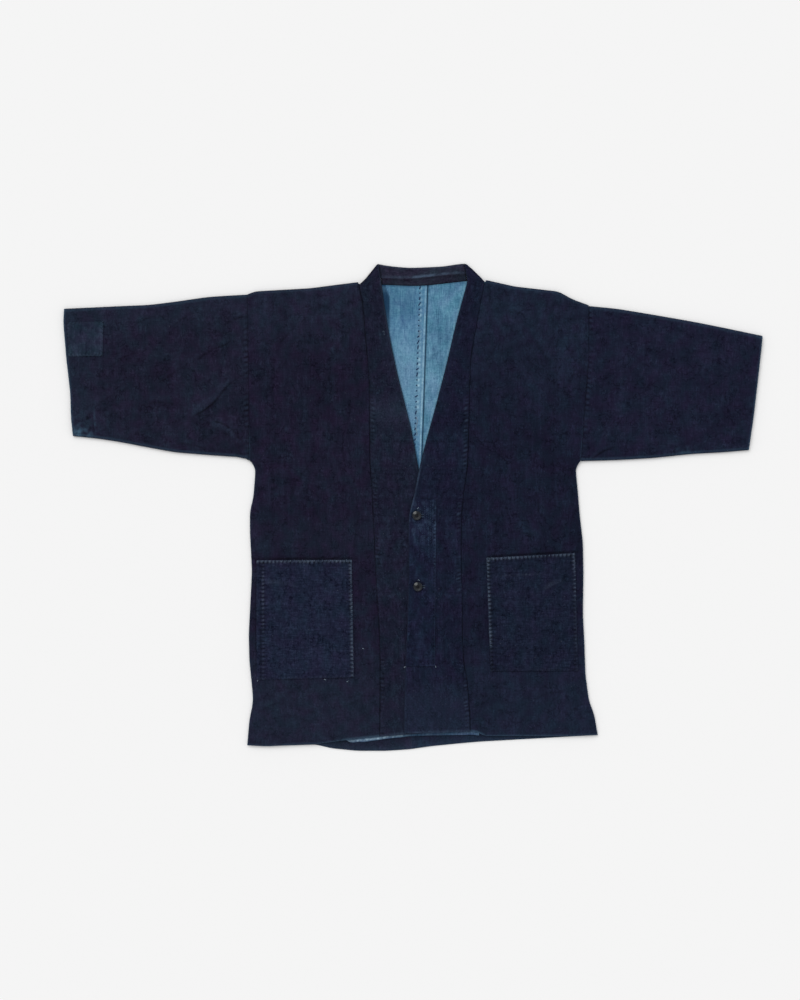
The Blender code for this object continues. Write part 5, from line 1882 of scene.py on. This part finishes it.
def strand(name: str, paths: Sequence[Array], thread: Thread, radius: float) -> Item:
    """Lays threads along paths as round strands.

    Args:
        name: The piece's name.
        paths: The points of each strand.
        thread: The thread.
        radius: The thread's radius.

    Returns:
        One mesh of all the strands.
    """
    curve = bpy.data.curves.new(name, "CURVE")
    curve.dimensions = "3D"
    curve.bevel_depth = radius * MM
    curve.bevel_resolution = 1
    curve.use_fill_caps = True
    for points in paths:
        spline = curve.splines.new("POLY")
        spline.points.add(len(points) - 1)
        for point, place in zip(spline.points, points * MM):
            point.co = (*place, 1.0)
    mesh = settled(placed(name + "_path", curve))
    mesh.materials.clear()
    mesh.materials.append(material_of(thread))
    mesh.shade_smooth()
    return mounted(placed(name, mesh))


@dataclass
class Sewing:
    """All of the jacket's visible stitches."""

    bands: dict[str, CollarBand]
    sleeves: dict[str, Sleeve]
    patches: dict[str, SewnPatch]
    buttons: Sequence[Button]

    BESIDE_SEAM = 3.6
    PATCH_INSET = 1.7
    PATCH_ENDS = (0.015, 0.985)
    UNDER = 0.12
    BACK_SEAM = (350.0, -390.0)
    BACK_HEM = ((-262.0, -8.0), (4.0, 292.0))

    def armhole_path(self, side: str) -> Array:
        """The running stitches on the sleeve beside the armhole seam."""
        sleeve = self.sleeves[side]
        y = np.linspace(sleeve.rows[0].bottom + 12, sleeve.rows[0].top - 8, 60)
        x = x_at(sleeve.armhole, y) + sleeve.sign * self.BESIDE_SEAM
        return path(x, y, FRONT_MID + Relief.front(x, y)[0] - 0.15 + CLOTH / 2)

    def band_path(self, side: str) -> Array:
        """The stitches on a collar band beside its seam."""
        band = self.bands[side]
        section = band.section(np.linspace(0.04, len(band.rows) - 5.0, 160))
        run_x, run_y = section.free_x - section.seam_x, section.free_y - section.seam_y
        x = section.seam_x + run_x * self.BESIDE_SEAM / np.hypot(run_x, run_y)
        level = band.level(x, section.seam_y, section.ledge_x) + BAND_STEP + BAND_CLOTH / 2 + 0.1
        return path(x, section.seam_y, level)

    def patch_paths(self, node: str, sides: str) -> list[Array]:
        """Paths just inside the edges of a patch, named by their first letters."""
        piece = self.patches[node]
        inset_x, inset_y = self.PATCH_INSET / piece.wide, self.PATCH_INSET / piece.tall
        first, last = self.PATCH_ENDS
        run = np.linspace(first, last, 50)
        starts = [max(first, 1 - (down + 25) / piece.tall) for down in piece.pale_down]
        left, right = (np.linspace(start, last, 50) for start in starts)
        shares = {
            "l": (inset_x, left), "r": (1 - inset_x, right), "b": (run, inset_y), "t": (run, 1 - inset_y),
        }
        level = FRONT_TOP + LAY + piece.thickness + 0.05
        return [path(*patch_point(piece.patch, piece.lean, *shares[letter]), level) for letter in sides]

    def build(self) -> None:
        """Sews every visible row."""
        Stitches(
            "armhole_stitches", Thread.DARK, [self.armhole_path(side) for side in self.sleeves],
            pitch=Sleeve.PITCH, length=3.2, radius=0.45, slant=1.3, seed=3, slot="indigo",
        ).build()
        Stitches(
            "band_stitches", Thread.DARK, [self.band_path(side) for side in self.bands],
            pitch=CollarBand.PITCH, length=2.6, radius=0.45, slant=1.3, seed=5, slot="indigo",
        ).build()
        Stitches(
            "pocket_stitches", Thread.WORN,
            self.patch_paths("pocket_right", "rt") + self.patch_paths("pocket_left", "lrt"),
            pitch=6.5, length=4.0, radius=0.6, slant=1.25, uneven=0.3, seed=7,
        ).build()
        foot = self.patch_paths("pocket_right", "b") + self.patch_paths("pocket_left", "b")
        Stitches(
            "patch_stitches", Thread.DARK, foot + self.patch_paths("cuff_patch", "lrbt"),
            pitch=6.0, length=2.6, radius=0.38, slant=1.1, seed=9, slot="indigo",
        ).build()
        Stitches(
            "lining_run", Thread.NAVY, [self.beside_lining_seam((362, -300), 90, over=0.5)],
            pitch=RUN_PITCH, length=5.2, radius=1.2, slant=-0.6, uneven=0.55, seed=11,
        ).build()
        self.darning()
        self.buttonholes()
        self.loose_threads()
        passes = [points for button in self.buttons for points in button.sewing()]
        strand("button_threads", passes, Thread.DARK, radius=0.35)
        self.underside()

    @staticmethod
    def beside_lining_seam(
        ends: tuple[float, float], count: int, over: float, aside: float = 0.0, wave: float = 0.0,
        span: float = 1.0,
    ) -> Array:
        """A path on the lining beside its centre seam.

        Args:
            ends: The y where it starts and ends.
            count: How many points it has.
            over: How far it lies over the lining.
            aside: How far it lies from the line of the running stitch, towards the seam.
            wave: How far it swings.
            span: How long its waves are.

        Returns:
            The path.
        """
        y = np.linspace(*ends, count)
        x = x_at(CENTRE_SEAM, y) - RUN_ASIDE + aside + wave * np.sin(y / span)
        return path(x, y, LINING_TOP + over)

    def buttonholes(self) -> None:
        """Works the two buttonholes."""
        paths = []
        for button in self.buttons:
            start = button.spot.x + ButtonStand.HOLE_START
            x = np.linspace(start + 6.0, start + ButtonStand.HOLE_LONG, 12)
            paths += [path(x, button.spot.y + offset, STAND_TOP_LEVEL + 0.3) for offset in (-1.5, 1.5)]
        Stitches(
            "buttonhole_stitches", Thread.WORN, paths, pitch=1.15, length=2.1, radius=0.36, slant=math.pi / 2,
            uneven=0.12, seed=13,
        ).build()

    def darning(self) -> None:
        """Rows of small darning stitches on the strip behind the buttons."""
        paths = []
        for number, x in enumerate(np.arange(8.5, 35.5, 3.4)):
            y = np.linspace(-58.0 + 22 * math.sin(number * 2.1), 9.0 - 9 * (number % 3), 40)
            paths.append(path(x + 0.5 * np.sin(y / 7 + number), y, STAND_TOP_LEVEL + 0.28))
        Stitches(
            "stand_darning", Thread.DARN, paths, pitch=3.7, length=2.4, radius=0.5, uneven=0.4, seed=19,
        ).build()

    def loose_threads(self) -> None:
        """The loose pale thread beside the lining's seam, and the thread ends at the mends."""
        loose = self.beside_lining_seam((150, 118), 14, over=1.0, aside=2.2, wave=1.1, span=3.1)
        short = self.beside_lining_seam((292, 281), 8, over=1.0, aside=1.4, wave=0.6, span=2.0)
        ends = [self.thread_end(*spot) for spot in THREAD_ENDS]
        strand("loose_threads", [loose, short, *ends], Thread.LIGHT, radius=0.3)
        strand("collar_thread", [self.thread_end(*COLLAR_THREAD, long=7.0)], Thread.WORN, radius=0.34)

    @staticmethod
    def thread_end(x: float, y: float, z: float, turn: float, long: float = 3.0) -> Array:
        """A short curled end of thread that lies at a place."""
        share = np.linspace(0, 1, 8)
        along, aside = long * (share - 0.5), (0.2 + 0.2 * long) * np.sin(share * 5.5)
        cos, sin = math.cos(turn), math.sin(turn)
        rise = z + 0.2 + 0.3 * np.sin(share * math.pi)
        return path(x + along * cos - aside * sin, y + along * sin + aside * cos, rise)

    def underside(self) -> None:
        """The stitches of the back's centre seam and hem, which show from below."""
        y = np.linspace(*self.BACK_SEAM, 120)
        paths = [path(x_at(CENTRE_SEAM, y) + aside, y, self.UNDER) for aside in (-3.2, 3.2)]
        for ends in self.BACK_HEM:
            x = np.linspace(*ends, 80)
            paths.append(path(x, y_at(HEM_BACK, x) + HEM_TURN - 4, self.UNDER))
        Stitches(
            "back_stitches", Thread.DARK, paths, pitch=8.0, length=3.4, radius=0.3, seed=17, slot="indigo",
        ).build()


@dataclass
class Studio:
    """A pale floor, soft light from above and a camera that looks straight down."""

    view_x: float = -21.5
    view_y: float = 11.9
    frame_tall: float = 1650.0
    lens: float = 85.0
    sensor: float = 36.0
    floor_half_metres: float = 40.0
    floor_level_metres: float = -0.0003
    sky: float = 0.66
    lamp: float = 1.22
    lamp_tilt: tuple[float, float, float] = (math.radians(-34), math.radians(-24), 0.0)
    lamp_spread: float = math.radians(50)

    def build(self) -> None:
        """Sets up the studio."""
        scene = bpy.context.scene
        scene.view_settings.view_transform = "Standard"
        data = bpy.data.cameras.new("camera")
        data.lens, data.sensor_width = self.lens, self.sensor
        scene.camera = placed("camera", data)
        distance = self.frame_tall * self.lens / self.sensor
        scene.camera.location = Vector((self.view_x, self.view_y, distance)) * MM
        mesh = bpy.data.meshes.new("floor")
        half, level = self.floor_half_metres, self.floor_level_metres
        corners = [(-half, -half, level), (half, -half, level), (half, half, level), (-half, half, level)]
        mesh.from_pydata(corners, [], [(0, 1, 2, 3)])
        mesh.materials.append(PaperFinish().material("floor_paper"))
        placed("floor", mesh)
        light = bpy.data.lights.new("lamp", "SUN")
        light.energy, light.angle = self.lamp, self.lamp_spread
        placed("lamp", light).rotation_euler = self.lamp_tilt
        scene.world = bpy.data.worlds.new("studio")
        scene.world.use_nodes = True
        background = scene.world.node_tree.nodes["Background"]
        background.inputs["Color"].default_value = (1.0, 1.0, 1.0, 1.0)
        background.inputs["Strength"].default_value = self.sky


def main() -> None:
    """Builds the jacket on its frame and reports each piece."""
    logging.basicConfig(level=logging.INFO, format="%(name)s: %(message)s")
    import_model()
    Studio().build()
    bands = {
        "right": CollarBand(
            "right", BAND_RIGHT, Cloth.BAND_RIGHT, laps=False,
            rests_on=("lining_right_cloth",), rung_wear=0.24, low_wear=0.02, spot_wear=0.1,
        ),
        "left": CollarBand(
            "left", BAND_LEFT, Cloth.BAND_LEFT, laps=True,
            rests_on=("lining_right_cloth", "collar_right_band"),
            rung_wear=0.34, low_wear=0.07, spot_wear=0.0,
        ),
    }
    panels = [
        BodyPanel(
            "right", SIDE_RIGHT, ARMHOLE_RIGHT, bands["right"], NECK[0].x, POCKET_RIGHT, POCKET_LEAN_RIGHT,
            Cloth.BODY_RIGHT, area=0.375,
            wears=PanelWear(hem=0.2, low=0.065, middle=0.03, upper_from=225, upper_run=110),
        ),
        BodyPanel(
            "left", SIDE_LEFT, ARMHOLE_LEFT, bands["left"], NECK[-1].x, POCKET_LEFT, POCKET_LEAN_LEFT,
            Cloth.BODY_LEFT, area=0.356,
            wears=PanelWear(hem=0.26, low=0.045, middle=0.0, upper_from=90, upper_run=260),
        ),
    ]
    linings = [
        LiningPanel(panels[0], bands, Cloth.LINING_BLUE, area=0.195),
        LiningPanel(panels[1], bands, Cloth.LINING_TEAL, area=0.183),
    ]
    sleeves = {
        "right": Sleeve(
            "right", SLEEVE_RIGHT, ARMHOLE_RIGHT, CUFF_RIGHT, Cloth.SLEEVE_RIGHT,
            rubbed_x=-548.0, rubbed=0.9, area=0.145,
        ),
        "left": Sleeve(
            "left", SLEEVE_LEFT, ARMHOLE_LEFT, CUFF_LEFT, Cloth.SLEEVE_LEFT,
            rubbed_x=450.0, rubbed=0.25, area=0.13,
        ),
    }
    patches = [
        SewnPatch(
            "pocket_right", "pocket_indigo", Cloth.POCKET_RIGHT, POCKET_RIGHT, POCKET_LEAN_RIGHT,
            Patch(0.06, 0.56, 0.08, 0.68), "body_right_panel", inset_left=11.0, pale_down=Line(80.0, 999.0),
        ),
        SewnPatch(
            "pocket_left", "indigo", Cloth.POCKET_LEFT, POCKET_LEFT, POCKET_LEAN_LEFT,
            Patch(0.76, 0.52, 0.06, 0.66), "body_left_panel", hem_line=31.0, pale_down=Line(122.0, 44.0),
        ),
        SewnPatch(
            "cuff_patch", "mend", Cloth.MEND, CUFF_PATCH, CUFF_PATCH_LEAN, Patch(0.08, 0.16, 0.26, 0.08),
            "sleeve_right_tube", puff=0.0, thickness=PATCH_CLOTH, pitch=6.0,
        ),
    ]
    buttons = [Button(name, spot) for name, spot in BUTTONS.items()]
    cloths = [*panels, *linings, *sleeves.values(), *bands.values(), BackCollar(), HemRim(), *patches]
    for piece in [*cloths, ButtonStand(bands["left"]), *buttons]:
        piece.build()
    Sewing(bands, sleeves, {patch.node: patch for patch in patches}, buttons).build()


if __name__ == "__main__":
    main()
